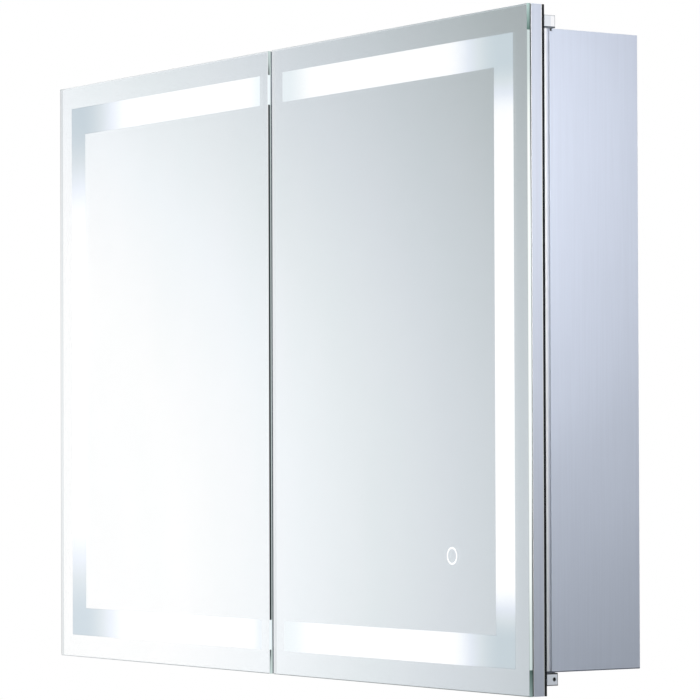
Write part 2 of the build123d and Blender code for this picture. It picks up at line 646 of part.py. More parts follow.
def chamber_outline(which):
    """Corners of the hollow that runs the whole length of a frame member, mitres included."""
    wall = FRAME_WALL
    rows = {
        "outer": (door_outer - RAIL_W + wall, door_outer - wall, -HALF_H, HALF_H),
        "inner": (door_inner + wall, door_inner + INNER_STILE_W - wall, -HALF_H, HALF_H),
        "top": (door_inner, door_outer, HALF_H - RAIL_W + wall, HALF_H - wall),
        "bottom": (door_inner, door_outer, -HALF_H + wall, -HALF_H + RAIL_W - wall),
    }
    x0, x1, z0, z1 = rows[which]
    return [(x0, z0), (x1, z0), (x1, z1), (x0, z1)]


def plate_xz(points, y_front, thickness, mode=Mode.ADD):
    """Extrudes a closed outline drawn in X and Z from y_front towards the wall."""
    with BuildPart(mode=Mode.PRIVATE) as plate:
        with BuildSketch(Plane.XZ.offset(-y_front)):
            with BuildLine():
                Polyline(points, close=True)
            make_face()
        extrude(amount=-thickness)
    add(plate.part, mode=mode)


# Front mirror: polished float glass with a small arris on every edge.
with BuildPart() as door_glass:
    block(door_inner, door_outer, DOOR_FRONT_Y, GLASS_BACK_Y, -HALF_H, HALF_H)
    chamfer(door_glass.edges(), ARRIS)
both_sides(door_glass.part, "door_mirror")

# Foam mounting tape: a thin ring between the glass and the frame, set back from the edge.
with BuildPart() as door_tape:
    for which in ("outer", "inner", "top", "bottom"):
        plate_xz(ring_member(TAPE_INSET, TAPE_W, TAPE_W, which), GLASS_BACK_Y, TAPE_T)
both_sides(door_tape.part, "glass_tape")

# Hinge screw positions: in from the door's outer edge, and up from the near face of the block.
hinge_near_z = HALF_BODY + HINGE_GAP
hinge_screw_points = [
    (door_outer - u, end * (hinge_near_z + HINGE_SCREW_UP)) for end in (-1, 1) for u in HINGE_SCREW_U
]


def frame_member(which):
    """One mitred, hollow length of the door frame."""
    with BuildPart() as member:
        plate_xz(ring_member(0, RAIL_W, INNER_STILE_W, which), FRAME_FRONT_Y, FRAME_T)
        along = Axis.Z if which in ("outer", "inner") else Axis.X
        chamfer(member.faces().filter_by(Axis.Y).edges().filter_by(along), FRAME_CHAMFER)
        plate_xz(chamber_outline(which), FRAME_FRONT_Y + FRAME_WALL, FRAME_T - 2 * FRAME_WALL,
                 Mode.SUBTRACT)
        for x, z in hinge_screw_points:
            rod_y(x, FRAME_BACK_Y - FRAME_WALL - PAST, FRAME_BACK_Y + PAST, z,
                  HINGE_SCREW_R + RUNNING, Mode.SUBTRACT)
    return member.part


both_sides(frame_member("outer"), "door_outer_stile")
both_sides(frame_member("inner"), "door_inner_stile")
both_sides(frame_member("top"), "door_top_rail")
both_sides(frame_member("bottom"), "door_bottom_rail")

# Corner keys: L-shaped blocks in the hollow of the frame that hold the mitres together.
key_in = FRAME_WALL + SLIP
with BuildPart() as corner_keys:
    for corner_x, towards, stile_w in ((door_outer, -1, RAIL_W), (door_inner, 1, INNER_STILE_W)):
        for end in (-1, 1):
            corner_z = end * HALF_H
            outline = [
                (corner_x + towards * key_in, corner_z - end * key_in),
                (corner_x + towards * KEY_LEG, corner_z - end * key_in),
                (corner_x + towards * KEY_LEG, corner_z - end * (RAIL_W - key_in)),
                (corner_x + towards * (stile_w - key_in), corner_z - end * (RAIL_W - key_in)),
                (corner_x + towards * (stile_w - key_in), corner_z - end * KEY_LEG),
                (corner_x + towards * key_in, corner_z - end * KEY_LEG),
            ]
            plate_xz(outline, FRAME_FRONT_Y + FRAME_WALL + SLIP, FRAME_T - 2 * FRAME_WALL - 2 * SLIP)
    for x, z in hinge_screw_points:
        rod_y(x, FRAME_FRONT_Y + FRAME_WALL, FRAME_BACK_Y, z, HINGE_SCREW_R + RUNNING, Mode.SUBTRACT)
both_sides(corner_keys.part, "corner_keys")

# Diffuser: a C-shaped opal plate on the back of the glass, behind the etched band.
spread_out = BAND_MARGIN - DIFFUSER_SPREAD
spread_in = BAND_MARGIN + BAND_W + DIFFUSER_SPREAD
end_x = door_inner + INNER_STILE_W + SLIP
c_shape = [
    (end_x, HALF_H - spread_out),
    (door_outer - spread_out, HALF_H - spread_out),
    (door_outer - spread_out, -HALF_H + spread_out),
    (end_x, -HALF_H + spread_out),
    (end_x, -HALF_H + spread_in),
    (door_outer - spread_in, -HALF_H + spread_in),
    (door_outer - spread_in, HALF_H - spread_in),
    (end_x, HALF_H - spread_in),
]
with BuildPart() as diffuser:
    plate_xz(c_shape, GLASS_BACK_Y, DIFFUSER_T)
both_sides(diffuser.part, "band_diffuser")

# LED strips: three lengths of circuit tape with small emitters, stuck to the front of the inner
# mirror along the middle of the band.
band_mid = BAND_MARGIN + BAND_W / 2
strip_front_y = FRAME_BACK_Y - LED_TAPE_T
strip_x0 = door_inner + INNER_STILE_W + STRIP_END_GAP
strip_x1 = door_outer - band_mid - LED_TAPE_W
strip_half_z = HALF_H - band_mid - LED_TAPE_W
half_tape = LED_TAPE_W / 2
chip_y = strip_front_y - LED_CHIP_H / 2
mid_x = door_outer - band_mid
row_count = int((strip_x1 - strip_x0) / LED_PITCH)
column_count = int(2 * strip_half_z / LED_PITCH)
chip_points = []
for end in (-1, 1):
    for index in range(row_count):
        chip_points.append((strip_x0 + (index + 0.5) * LED_PITCH, chip_y, end * (HALF_H - band_mid)))
for index in range(column_count):
    chip_points.append((mid_x, chip_y, -strip_half_z + (index + 0.5) * LED_PITCH))
with BuildPart() as led_strips:
    for end in (-1, 1):
        mid_z = end * (HALF_H - band_mid)
        block(strip_x0, strip_x1, strip_front_y, FRAME_BACK_Y, mid_z - half_tape, mid_z + half_tape)
    block(mid_x - half_tape, mid_x + half_tape, strip_front_y, FRAME_BACK_Y,
          -strip_half_z, strip_half_z)
    with Locations(*chip_points):
        Box(LED_CHIP, LED_CHIP_H, LED_CHIP)
both_sides(led_strips.part, "led_strips")

# Inner mirror: the glass seen with the door open, full size, with blackened edges.
with BuildPart() as inner_mirror:
    block(door_inner, door_outer, FRAME_BACK_Y, DOOR_BACK_Y, -HALF_H, HALF_H)
    chamfer(inner_mirror.faces().sort_by(Axis.Y)[-1].edges(), ARRIS)
    for x, z in hinge_screw_points:
        rod_y(x, FRAME_BACK_Y - PAST, DOOR_BACK_Y + PAST, z, HINGE_SCREW_R + RUNNING, Mode.SUBTRACT)
    rod_y(DOOR_LEAD_X, FRAME_BACK_Y - PAST, DOOR_BACK_Y + PAST, DOOR_LEAD_Z, DOOR_LEAD_HOLE_R, Mode.SUBTRACT)
both_sides(inner_mirror.part, "inner_mirror")

both_sides(
    grommet(DOOR_LEAD_X, DOOR_LEAD_Z, FRAME_BACK_Y, INNER_MIRROR_T, DOOR_LEAD_HOLE_R,
            DOOR_LEAD_BORE_R, DOOR_LEAD_LIP_R, DOOR_LEAD_LIP_T),
    "door_grommet",
)

# Strike plates for the magnets, on the back of the inner mirror.
with BuildPart() as strikes:
    for end in (-1, 1):
        block(CATCH_X - STRIKE_W / 2, CATCH_X + STRIKE_W / 2, DOOR_BACK_Y, DOOR_BACK_Y + STRIKE_T,
              end * FLANGE_MID_Z - STRIKE_H / 2, end * FLANGE_MID_Z + STRIKE_H / 2)
both_sides(strikes.part, "strike_plates")

# Hinge blocks stand on the back of the door just above and just below the body.
hinge_far_z = hinge_near_z + HINGE_H
hinge_rear_y = DOOR_BACK_Y + HINGE_D
pin_bore_end_z = hinge_far_z - HINGE_ROOF


def hinge_block(end):
    """Block at the top (+1) or bottom (-1); the bottom one has the set screw."""
    with BuildPart() as body:
        block(door_outer - HINGE_W, door_outer, DOOR_BACK_Y, hinge_rear_y,
              end * hinge_near_z, end * hinge_far_z)
        fillet(body.edges().filter_by(Axis.Z).group_by(Axis.Y)[-1], HINGE_ROUND)
        rod_z(PIVOT_X, PIVOT_Y, end * (hinge_near_z - PAST), end * pin_bore_end_z,
              PIN_R + RUNNING, Mode.SUBTRACT)
        for x, z in hinge_screw_points:
            if z * end > 0:
                rod_y(x, DOOR_BACK_Y - PAST, hinge_rear_y + PAST, z, HINGE_SCREW_R + RUNNING, Mode.SUBTRACT)
                rod_y(x, hinge_rear_y - HINGE_SCREW_HEAD_T, hinge_rear_y + PAST, z,
                      HINGE_SCREW_HEAD_R + RUNNING, Mode.SUBTRACT)
        if end < 0:
            rod_x(PIVOT_X, door_outer + PAST, PIVOT_Y, -(hinge_near_z + HINGE_H / 2),
                  SET_SCREW_R + RUNNING, Mode.SUBTRACT)
    return body.part


both_sides(hinge_block(1), "hinge_block_top")
both_sides(hinge_block(-1), "hinge_block_bottom")

with BuildPart() as pivot_pins:
    for end in (-1, 1):
        rod_z(PIVOT_X, PIVOT_Y, end * (HALF_BODY - PIN_IN_BUSH), end * pin_bore_end_z, PIN_R)
both_sides(pivot_pins.part, "pivot_pins")

# Thin washers round the pins, against the hinge blocks and clear of the body.
with BuildPart() as pivot_washers:
    for end in (-1, 1):
        rod_z(PIVOT_X, PIVOT_Y, end * (hinge_near_z - WASHER_T), end * hinge_near_z, WASHER_R)
        rod_z(PIVOT_X, PIVOT_Y, end * (hinge_near_z - PAST), end * (hinge_near_z + PAST),
              PIN_R + RUNNING, Mode.SUBTRACT)
both_sides(pivot_washers.part, "pivot_washers")

with BuildPart() as hinge_screws:
    for x, z in hinge_screw_points:
        rod_y(x, hinge_rear_y - HINGE_SCREW_HEAD_T, hinge_rear_y, z, HINGE_SCREW_HEAD_R)
        rod_y(x, hinge_rear_y - HINGE_SCREW_L, hinge_rear_y - HINGE_SCREW_HEAD_T, z, HINGE_SCREW_R)
        # cross recess
        for half_x, half_z in ((RECESS_HALF_L, RECESS_HALF_W), (RECESS_HALF_W, RECESS_HALF_L)):
            block(x - half_x, x + half_x, hinge_rear_y - RECESS_DEPTH, hinge_rear_y,
                  z - half_z, z + half_z, Mode.SUBTRACT)
both_sides(hinge_screws.part, "hinge_screws")

# Set screw in the bottom block: sunk below the outer face and bearing on the pin.
set_screw_z = -(hinge_near_z + HINGE_H / 2)
set_screw_tip_x = PIVOT_X + PIN_R
with BuildPart() as set_screw:
    rod_x(set_screw_tip_x + RUNNING, set_screw_tip_x + RUNNING + SET_SCREW_L, PIVOT_Y, set_screw_z,
          SET_SCREW_R)
    with BuildSketch(Plane.YZ.offset(set_screw_tip_x + RUNNING + SET_SCREW_L)):
        with Locations((PIVOT_Y, set_screw_z)):
            RegularPolygon(SET_SCREW_HEX / 2, 6, major_radius=False)
    extrude(amount=-SET_SCREW_SUNK, mode=Mode.SUBTRACT)
both_sides(set_screw.part, "set_screw")

# Touch sensor behind the ring mark of the right-hand door.
ring_x = door_outer - RING_FROM_OUTER
ring_z = -HALF_H + RING_FROM_BOTTOM
with BuildPart() as touch_sensor:
    rod_y(ring_x, GLASS_BACK_Y, GLASS_BACK_Y + SENSOR_T, ring_z, SENSOR_R)
    block(ring_x - SENSOR_CHIP / 2, ring_x + SENSOR_CHIP / 2, GLASS_BACK_Y + SENSOR_T,
          GLASS_BACK_Y + SENSOR_T + SENSOR_CHIP_H, ring_z - SENSOR_CHIP / 2, ring_z + SENSOR_CHIP / 2)
finish(touch_sensor.part, "touch_sensor")
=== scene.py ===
import json
import logging
import math
from dataclasses import dataclass, field
from enum import Enum
from typing import ClassVar, Protocol, Union

import bpy
import numpy as np
from mathutils import Matrix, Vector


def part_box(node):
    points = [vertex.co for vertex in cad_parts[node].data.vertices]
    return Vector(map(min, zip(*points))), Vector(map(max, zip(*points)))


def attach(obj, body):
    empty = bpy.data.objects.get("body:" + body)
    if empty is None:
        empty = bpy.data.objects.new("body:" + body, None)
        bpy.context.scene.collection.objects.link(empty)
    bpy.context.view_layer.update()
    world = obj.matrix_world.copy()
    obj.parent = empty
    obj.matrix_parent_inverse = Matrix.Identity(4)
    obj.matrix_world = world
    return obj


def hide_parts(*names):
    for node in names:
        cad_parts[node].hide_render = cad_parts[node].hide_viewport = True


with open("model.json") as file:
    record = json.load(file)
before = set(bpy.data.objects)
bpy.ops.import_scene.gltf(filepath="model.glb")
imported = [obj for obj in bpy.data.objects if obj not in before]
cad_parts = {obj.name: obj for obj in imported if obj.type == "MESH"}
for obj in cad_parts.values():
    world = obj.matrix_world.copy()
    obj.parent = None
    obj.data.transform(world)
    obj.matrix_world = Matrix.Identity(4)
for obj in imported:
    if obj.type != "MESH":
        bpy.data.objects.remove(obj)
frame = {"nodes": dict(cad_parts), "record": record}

LOG = logging.getLogger("mirror_cabinet")
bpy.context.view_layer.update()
MM = 0.001

STEP = 12.0 * MM
PICTURE = 700.0
RING_SEGMENTS = 96

Colour = tuple[float, float, float]
Point = tuple[float, float, float]
Stops = tuple[tuple[float, Colour], ...]
Faces = list[tuple[int, ...]]
Shape = tuple[np.ndarray, Faces]
Socket = bpy.types.NodeSocket
Value = Union[bpy.types.NodeSocket, float, tuple[float, ...]]

WHITE: Colour = (1.0, 1.0, 1.0)
BLACK: Colour = (0.0, 0.0, 0.0)


# ---------------------------------------------------------------- shared values
def grey(value: float) -> Colour:
    """A neutral colour of that brightness."""
    return value, value, value


def shade(colour: Colour, factor: float) -> Colour:
    """A colour made lighter or darker by a factor."""
    return tuple(min(1.0, c * factor) for c in colour)


class Side(Enum):
    """The two doors, and the way that each lies from the middle plane."""

    LEFT = -1
    RIGHT = 1

    @property
    def word(self) -> str:
        """The side's name as the pieces spell it."""
        return self.name.lower()

    @property
    def body(self) -> str:
        """The body that the side's door rides on."""
        return f"{self.word}_door"


class Grain(Enum):
    """The direction in which a metal was drawn or brushed, as a stretch of the pattern on X, Y and Z."""

    UPRIGHT = (1.0, 1.0, 0.02)
    ACROSS = (0.02, 1.0, 1.0)
    EVEN = (1.0, 1.0, 1.0)


@dataclass(frozen=True)
class DoorSizes:
    """Sizes of a door's glass and of the marks on its back, in metres."""

    inner_x: float
    outer_x: float
    half_height: float
    front_y: float
    back_y: float
    arris: float = 0.5 * MM
    rim_width: float = 0.9 * MM
    rim_let_in: float = 0.3 * MM
    rim_proud: float = 0.02 * MM
    band_margin: float = 25.0 * MM
    band_width: float = 31.5 * MM
    band_inner_x: float = 22.4 * MM
    ring_from_outer: float = 129.2 * MM
    ring_from_bottom: float = 131.3 * MM
    ring_radius: float = 8.75 * MM
    ring_line: float = 1.9 * MM
    coat_gap: float = 0.02 * MM
    coat_thickness: float = 0.02 * MM
    glass_short: float = 0.10 * MM

    @classmethod
    def from_frame(cls) -> "DoorSizes":
        """Reads the glass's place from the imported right-hand door."""
        low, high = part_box("right_door_mirror")
        return cls(inner_x=low[0], outer_x=high[0], half_height=high[2], front_y=low[1], back_y=high[1])

    @property
    def glass_back_y(self) -> float:
        """The clear glass stops just short of the node's back, which leaves room for the coatings."""
        return self.back_y - self.glass_short


# ---------------------------------------------------------------- meshes
def signed_volume(vertices: np.ndarray, faces: Faces) -> float:
    """Volume inside a closed mesh: the sum over fan triangles of a . (b x c) / 6.

    Args:
        vertices: N by 3 array of points.
        faces: corner indices of each face.

    Returns:
        The volume, negative if the faces point inwards.
    """
    fans = [(f[0], f[i], f[i + 1]) for f in faces for i in range(1, len(f) - 1)]
    a, b, c = (vertices[np.array(fans)[:, k]] for k in range(3))
    return float(np.einsum("ij,ij->i", a, np.cross(b, c)).sum() / 6.0)


def make_piece(name: str, vertices: np.ndarray, faces: Faces, body: str,
               material: bpy.types.Material, slot: str) -> bpy.types.Object:
    """Makes a closed piece from its points and faces, turned outwards, riding on a body.

    Args:
        name: the piece's name.
        vertices: N by 3 array of points in the row frame, in metres.
        faces: corner indices of each face.
        body: the body that the piece rides on.
        material: the piece's finish.
        slot: the record's material slot that the finish belongs to; not used.

    Returns:
        The new object.
    """
    if signed_volume(vertices, faces) < 0:
        faces = [tuple(reversed(f)) for f in faces]
    mesh = bpy.data.meshes.new(name)
    mesh.from_pydata(vertices.tolist(), [], faces)
    mesh.validate()
    mesh.materials.append(material)
    piece = bpy.data.objects.new(name, mesh)
    bpy.context.scene.collection.objects.link(piece)
    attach(piece, body)
    LOG.info("%s: %d faces on %s", name, len(faces), body)
    return piece


def loft(rings: np.ndarray, closed: bool = False) -> Shape:
    """Skins rings of points: ring i, point j is joined to ring i + 1, point j + 1, and so on round.

    Args:
        rings: R by P by 3 array, each ring a closed outline of P points.
        closed: True joins the last ring to the first, False closes both ends with a cap.

    Returns:
        The points as an N by 3 array, and the faces.
    """
    ring_count, point_count, _ = rings.shape
    rows = ring_count if closed else ring_count - 1
    i, j = np.meshgrid(np.arange(rows), np.arange(point_count), indexing="ij")
    i_next = (i + 1) % ring_count
    j_next = (j + 1) % point_count
    quads = np.stack([i * point_count + j, i * point_count + j_next,
                      i_next * point_count + j_next, i_next * point_count + j], axis=-1)
    faces = [tuple(q) for q in quads.reshape(-1, 4).tolist()]
    if not closed:
        faces.append(tuple(range(point_count - 1, -1, -1)))
        faces.append(tuple(range((ring_count - 1) * point_count, ring_count * point_count)))
    return rings.reshape(-1, 3), faces


def pane(x0: float, x1: float, half_z: float, y0: float, y1: float,
         arris: float) -> Shape:
    """A flat pane with an arris on every edge and corner.

    The outline at inset d is the eight points (x0 + d + a, z0 + d), (x1 - d - a, z0 + d) and so on
    round, with a the corner cut; four such rings stand at the front, the two arris lines and the back.

    Args:
        x0, x1: the pane's sides.
        half_z: half its height.
        y0, y1: its front and back planes.
        arris: width of the ground edge.

    Returns:
        The points and the faces.
    """
    levels = [(arris, y0), (0.0, y0 + arris), (0.0, y1 - arris), (arris, y1)]
    rings = []
    for inset, y in levels:
        a, b, h = x0 + inset, x1 - inset, half_z - inset
        outline = [(a + arris, -h), (b - arris, -h), (b, -h + arris), (b, h - arris),
                   (b - arris, h), (a + arris, h), (a, h - arris), (a, -h + arris)]
        rings.append([(x, y, z) for x, z in outline])
    return loft(np.array(rings))


def strip(path: np.ndarray, width: float, y0: float, y1: float,
          step: float) -> Shape:
    """A flat strip carried along a path in the X, Z plane, mitred at its corners.

    At each path point the two edges lie at plus and minus half the width along the mitre normal,
    the sum of the neighbouring segments' normals over one plus their dot product.  Straight
    stretches are divided evenly.

    Args:
        path: P by 2 array of X and Z along the strip's middle.
        width: the strip's width.
        y0, y1: its front and back planes.
        step: the longest stretch between two cross-sections.

    Returns:
        The points and the faces.
    """
    along = np.diff(path, axis=0)
    lengths = np.linalg.norm(along, axis=1)
    unit = along / lengths[:, None]
    normal = np.stack([-unit[:, 1], unit[:, 0]], axis=1)
    before = np.vstack([normal[:1], normal])
    after = np.vstack([normal, normal[-1:]])
    mitre = (before + after) / (1.0 + (before * after).sum(axis=1))[:, None]
    left, right = path + mitre * width / 2, path - mitre * width / 2
    rings = []
    for k, length in enumerate(lengths):
        count = max(1, math.ceil(length / step))
        t = np.linspace(0.0, 1.0, count + 1)[:, None]
        t = t if k == len(lengths) - 1 else t[:-1]
        a = left[k] + (left[k + 1] - left[k]) * t
        b = right[k] + (right[k + 1] - right[k]) * t
        corners = [np.column_stack([p[:, 0], np.full(len(t), y), p[:, 1]])
                   for p, y in ((a, y0), (b, y0), (b, y1), (a, y1))]
        rings.append(np.stack(corners, axis=1))
    return loft(np.concatenate(rings))


def rim(x0: float, x1: float, half_z: float, section: list[tuple[float, float]],
        step: float) -> Shape:
    """A section carried round the edge of an upright rectangle, mitred at its four corners.

    A section point is an inset d and a plane y.  Corner k of the rectangle at inset d is the corner
    moved in by d both ways, and the points between two corners run evenly from one to the next.

    Args:
        x0, x1: the rectangle's sides.
        half_z: half its height.
        section: insets and planes of the section's corners.
        step: the longest stretch between two sections.

    Returns:
        The points and the faces.
    """
    inset = np.array([d for d, _ in section])
    plane = np.array([y for _, y in section])
    corners = [(x0 + inset, -half_z + inset), (x1 - inset, -half_z + inset),
               (x1 - inset, half_z - inset), (x0 + inset, half_z - inset)]
    rings = []
    for k, (ax, az) in enumerate(corners):
        bx, bz = corners[(k + 1) % 4]
        count = max(1, math.ceil(max(x1 - x0, 2 * half_z) / step))
        t = np.linspace(0.0, 1.0, count, endpoint=False)[:, None]
        rings.append(np.stack([ax + (bx - ax) * t, np.broadcast_to(plane, (count, len(section))),
                               az + (bz - az) * t], axis=-1))
    return loft(np.concatenate(rings), closed=True)


def washer(x: float, z: float, outer: float, inner: float, y0: float, y1: float,
           segments: int) -> Shape:
    """A flat ring: the four corners of its section carried round the angle t as r cos t, r sin t.

    Args:
        x, z: the ring's centre.
        outer, inner: its two radii.
        y0, y1: its front and back planes.
        segments: how many sections go round.

    Returns:
        The points and the faces.
    """
    t = np.linspace(0.0, 2 * math.pi, segments, endpoint=False)
    section = ((outer, y0), (outer, y1), (inner, y1), (inner, y0))
    rings = np.stack([np.column_stack([x + r * np.cos(t), np.full(segments, y), z + r * np.sin(t)])
                      for r, y in section], axis=1)
    return loft(rings, closed=True)


# ---------------------------------------------------------------- material graphs
class Graph:
    """A node tree with short calls for what the finishes share."""

    MIX_FIRST: ClassVar[int] = 6
    MIX_SECOND: ClassVar[int] = 7
    MIX_RESULT: ClassVar[int] = 2

    def __init__(self, tree: bpy.types.NodeTree) -> None:
        """Empties the tree and keeps it."""
        self.tree = tree
        tree.nodes.clear()

    def node(self, kind: str, **settings: object) -> bpy.types.Node:
        """Adds a node.

        Args:
            kind: the node's type.
            **settings: the properties to set on it.

        Returns:
            The new node.
        """
        made = self.tree.nodes.new(kind)
        for key, value in settings.items():
            setattr(made, key, value)
        return made

    def wire(self, source: Socket, target: Socket) -> None:
        """Joins an output to an input."""
        self.tree.links.new(source, target)

    def feed(self, target: Socket, value: Value) -> None:
        """Wires an input, or sets a plain number or colour on it.

        Args:
            target: the input.
            value: an output, a number, or a colour of three parts.
        """
        if isinstance(value, bpy.types.NodeSocket):
            self.wire(value, target)
        else:
            target.default_value = (*value, 1.0) if isinstance(value, tuple) else value

    def math(self, operation: str, a: Value, b: Value = 0.0, clamp: bool = False) -> Socket:
        """The result of a Math node.

        Args:
            operation: what it does.
            a, b: the two numbers or sockets.
            clamp: True keeps the result in 0 to 1.

        Returns:
            The result.
        """
        made = self.node("ShaderNodeMath", operation=operation, use_clamp=clamp)
        self.feed(made.inputs[0], a)
        self.feed(made.inputs[1], b)
        return made.outputs[0]

    def plus(self, a: Value, b: Value) -> Socket:
        """a + b."""
        return self.math("ADD", a, b)

    def minus(self, a: Value, b: Value) -> Socket:
        """a - b."""
        return self.math("SUBTRACT", a, b)

    def times(self, a: Value, b: Value) -> Socket:
        """a times b."""
        return self.math("MULTIPLY", a, b)

    def ratio(self, a: Value, b: Value) -> Socket:
        """a divided by b."""
        return self.math("DIVIDE", a, b)

    def larger(self, a: Value, b: Value) -> Socket:
        """The larger of the two."""
        return self.math("MAXIMUM", a, b)

    def smaller(self, a: Value, b: Value) -> Socket:
        """The smaller of the two."""
        return self.math("MINIMUM", a, b)

    def over(self, a: Value, b: Value) -> Socket:
        """1 where a is over b, and 0 elsewhere."""
        return self.math("GREATER_THAN", a, b)

    def under(self, a: Value, b: Value) -> Socket:
        """1 where a is under b, and 0 elsewhere."""
        return self.math("LESS_THAN", a, b)

    def off(self, a: Value) -> Socket:
        """The distance of a from 0."""
        return self.math("ABSOLUTE", a)

    def rise(self, value: Value, low: float, high: float) -> Socket:
        """A smooth step of a number.

        Args:
            value: the number.
            low, high: where the step is 0 and where it is 1.

        Returns:
            The step.
        """
        made = self.node("ShaderNodeMapRange", interpolation_type="SMOOTHSTEP")
        self.feed(made.inputs["Value"], value)
        made.inputs["From Min"].default_value = low
        made.inputs["From Max"].default_value = high
        return made.outputs["Result"]

    def span(self, value: Value, low: float, high: float) -> Socket:
        """A number in 0 to 1 taken evenly onto low to high.

        Args:
            value: the number.
            low, high: what 0 and 1 become.

        Returns:
            The new number.
        """
        made = self.node("ShaderNodeMapRange")
        self.feed(made.inputs["Value"], value)
        made.inputs["To Min"].default_value = low
        made.inputs["To Max"].default_value = high
        return made.outputs["Result"]

    def place(self) -> Socket:
        """The point on the piece, in Object coordinates."""
        return self.node("ShaderNodeTexCoord").outputs["Object"]

    def axes(self) -> tuple[Socket, ...]:
        """The point's X, Y and Z, in Object coordinates."""
        split = self.node("ShaderNodeSeparateXYZ")
        self.wire(self.place(), split.inputs[0])
        return tuple(split.outputs)

    def noise(self, scale: float, detail: float = 3.0,
              stretch: tuple[float, float, float] = (1.0, 1.0, 1.0)) -> Socket:
        """Noise in 0 to 1.

        Args:
            scale: about how many features it has to the metre.
            detail: how many finer layers it has.
            stretch: the scale along each axis; a small one draws the noise out.

        Returns:
            The noise.
        """
        mapping = self.node("ShaderNodeMapping")
        mapping.inputs["Scale"].default_value = stretch
        self.wire(self.place(), mapping.inputs["Vector"])
        made = self.node("ShaderNodeTexNoise")
        made.inputs["Scale"].default_value = scale
        made.inputs["Detail"].default_value = detail
        self.wire(mapping.outputs[0], made.inputs["Vector"])
        return made.outputs["Fac"]

    def ramp(self, value: Value, *stops: tuple[float, Colour]) -> Socket:
        """A colour read off a ramp.

        Args:
            value: the place on the ramp, in 0 to 1.
            *stops: places and colours, in order.

        Returns:
            The colour.
        """
        made = self.node("ShaderNodeValToRGB")
        made.color_ramp.interpolation = "LINEAR"
        while len(made.color_ramp.elements) < len(stops):
            made.color_ramp.elements.new(0.5)
        for element, (position, colour) in zip(made.color_ramp.elements, stops):
            element.position = position
            element.color = (*colour, 1.0)
        self.feed(made.inputs[0], value)
        return made.outputs[0]

    def blend(self, amount: Value, first: Value, second: Value, mode: str = "MIX") -> Socket:
        """Mixes two colours.

        Args:
            amount: the share of the second.
            first, second: the colours, or sockets with them.
            mode: how the second goes on the first.

        Returns:
            The mixed colour.
        """
        made = self.node("ShaderNodeMix", data_type="RGBA", blend_type=mode)
        self.feed(made.inputs[0], amount)
        self.feed(made.inputs[self.MIX_FIRST], first)
        self.feed(made.inputs[self.MIX_SECOND], second)
        return made.outputs[self.MIX_RESULT]

    def tint(self, first: Value, second: Value) -> Socket:
        """One colour multiplied by another."""
        return self.blend(1.0, first, second, "MULTIPLY")

    def bump(self, height: Socket, depth: float) -> Socket:
        """A bumped normal.

        Args:
            height: the pattern.
            depth: the height in metres that a value of 1 stands for.

        Returns:
            The normal.
        """
        made = self.node("ShaderNodeBump")
        made.inputs["Strength"].default_value = 1.0
        made.inputs["Distance"].default_value = depth
        self.wire(height, made.inputs["Height"])
        return made.outputs[0]

    def surface(self, **values: Value) -> bpy.types.Node:
        """Wires a Principled shader to the output.

        Args:
            **values: what goes into each socket, named with _ for a blank.

        Returns:
            The output node.
        """
        shader = self.node("ShaderNodeBsdfPrincipled")
        for key, value in values.items():
            self.feed(shader.inputs[key.replace("_", " ")], value)
        output = self.node("ShaderNodeOutputMaterial")
        self.wire(shader.outputs[0], output.inputs["Surface"])
        return output


def new_graph(name: str) -> tuple[bpy.types.Material, Graph]:
    """Makes an empty material.

    Args:
        name: its name.

    Returns:
        The material, and the graph of its nodes.
    """
    material = bpy.data.materials.new(name)
    material.use_nodes = True
    return material, Graph(material.node_tree)


class Finish(Protocol):
    """Anything that makes a material."""

    def build(self) -> bpy.types.Material:
        """Makes the material."""


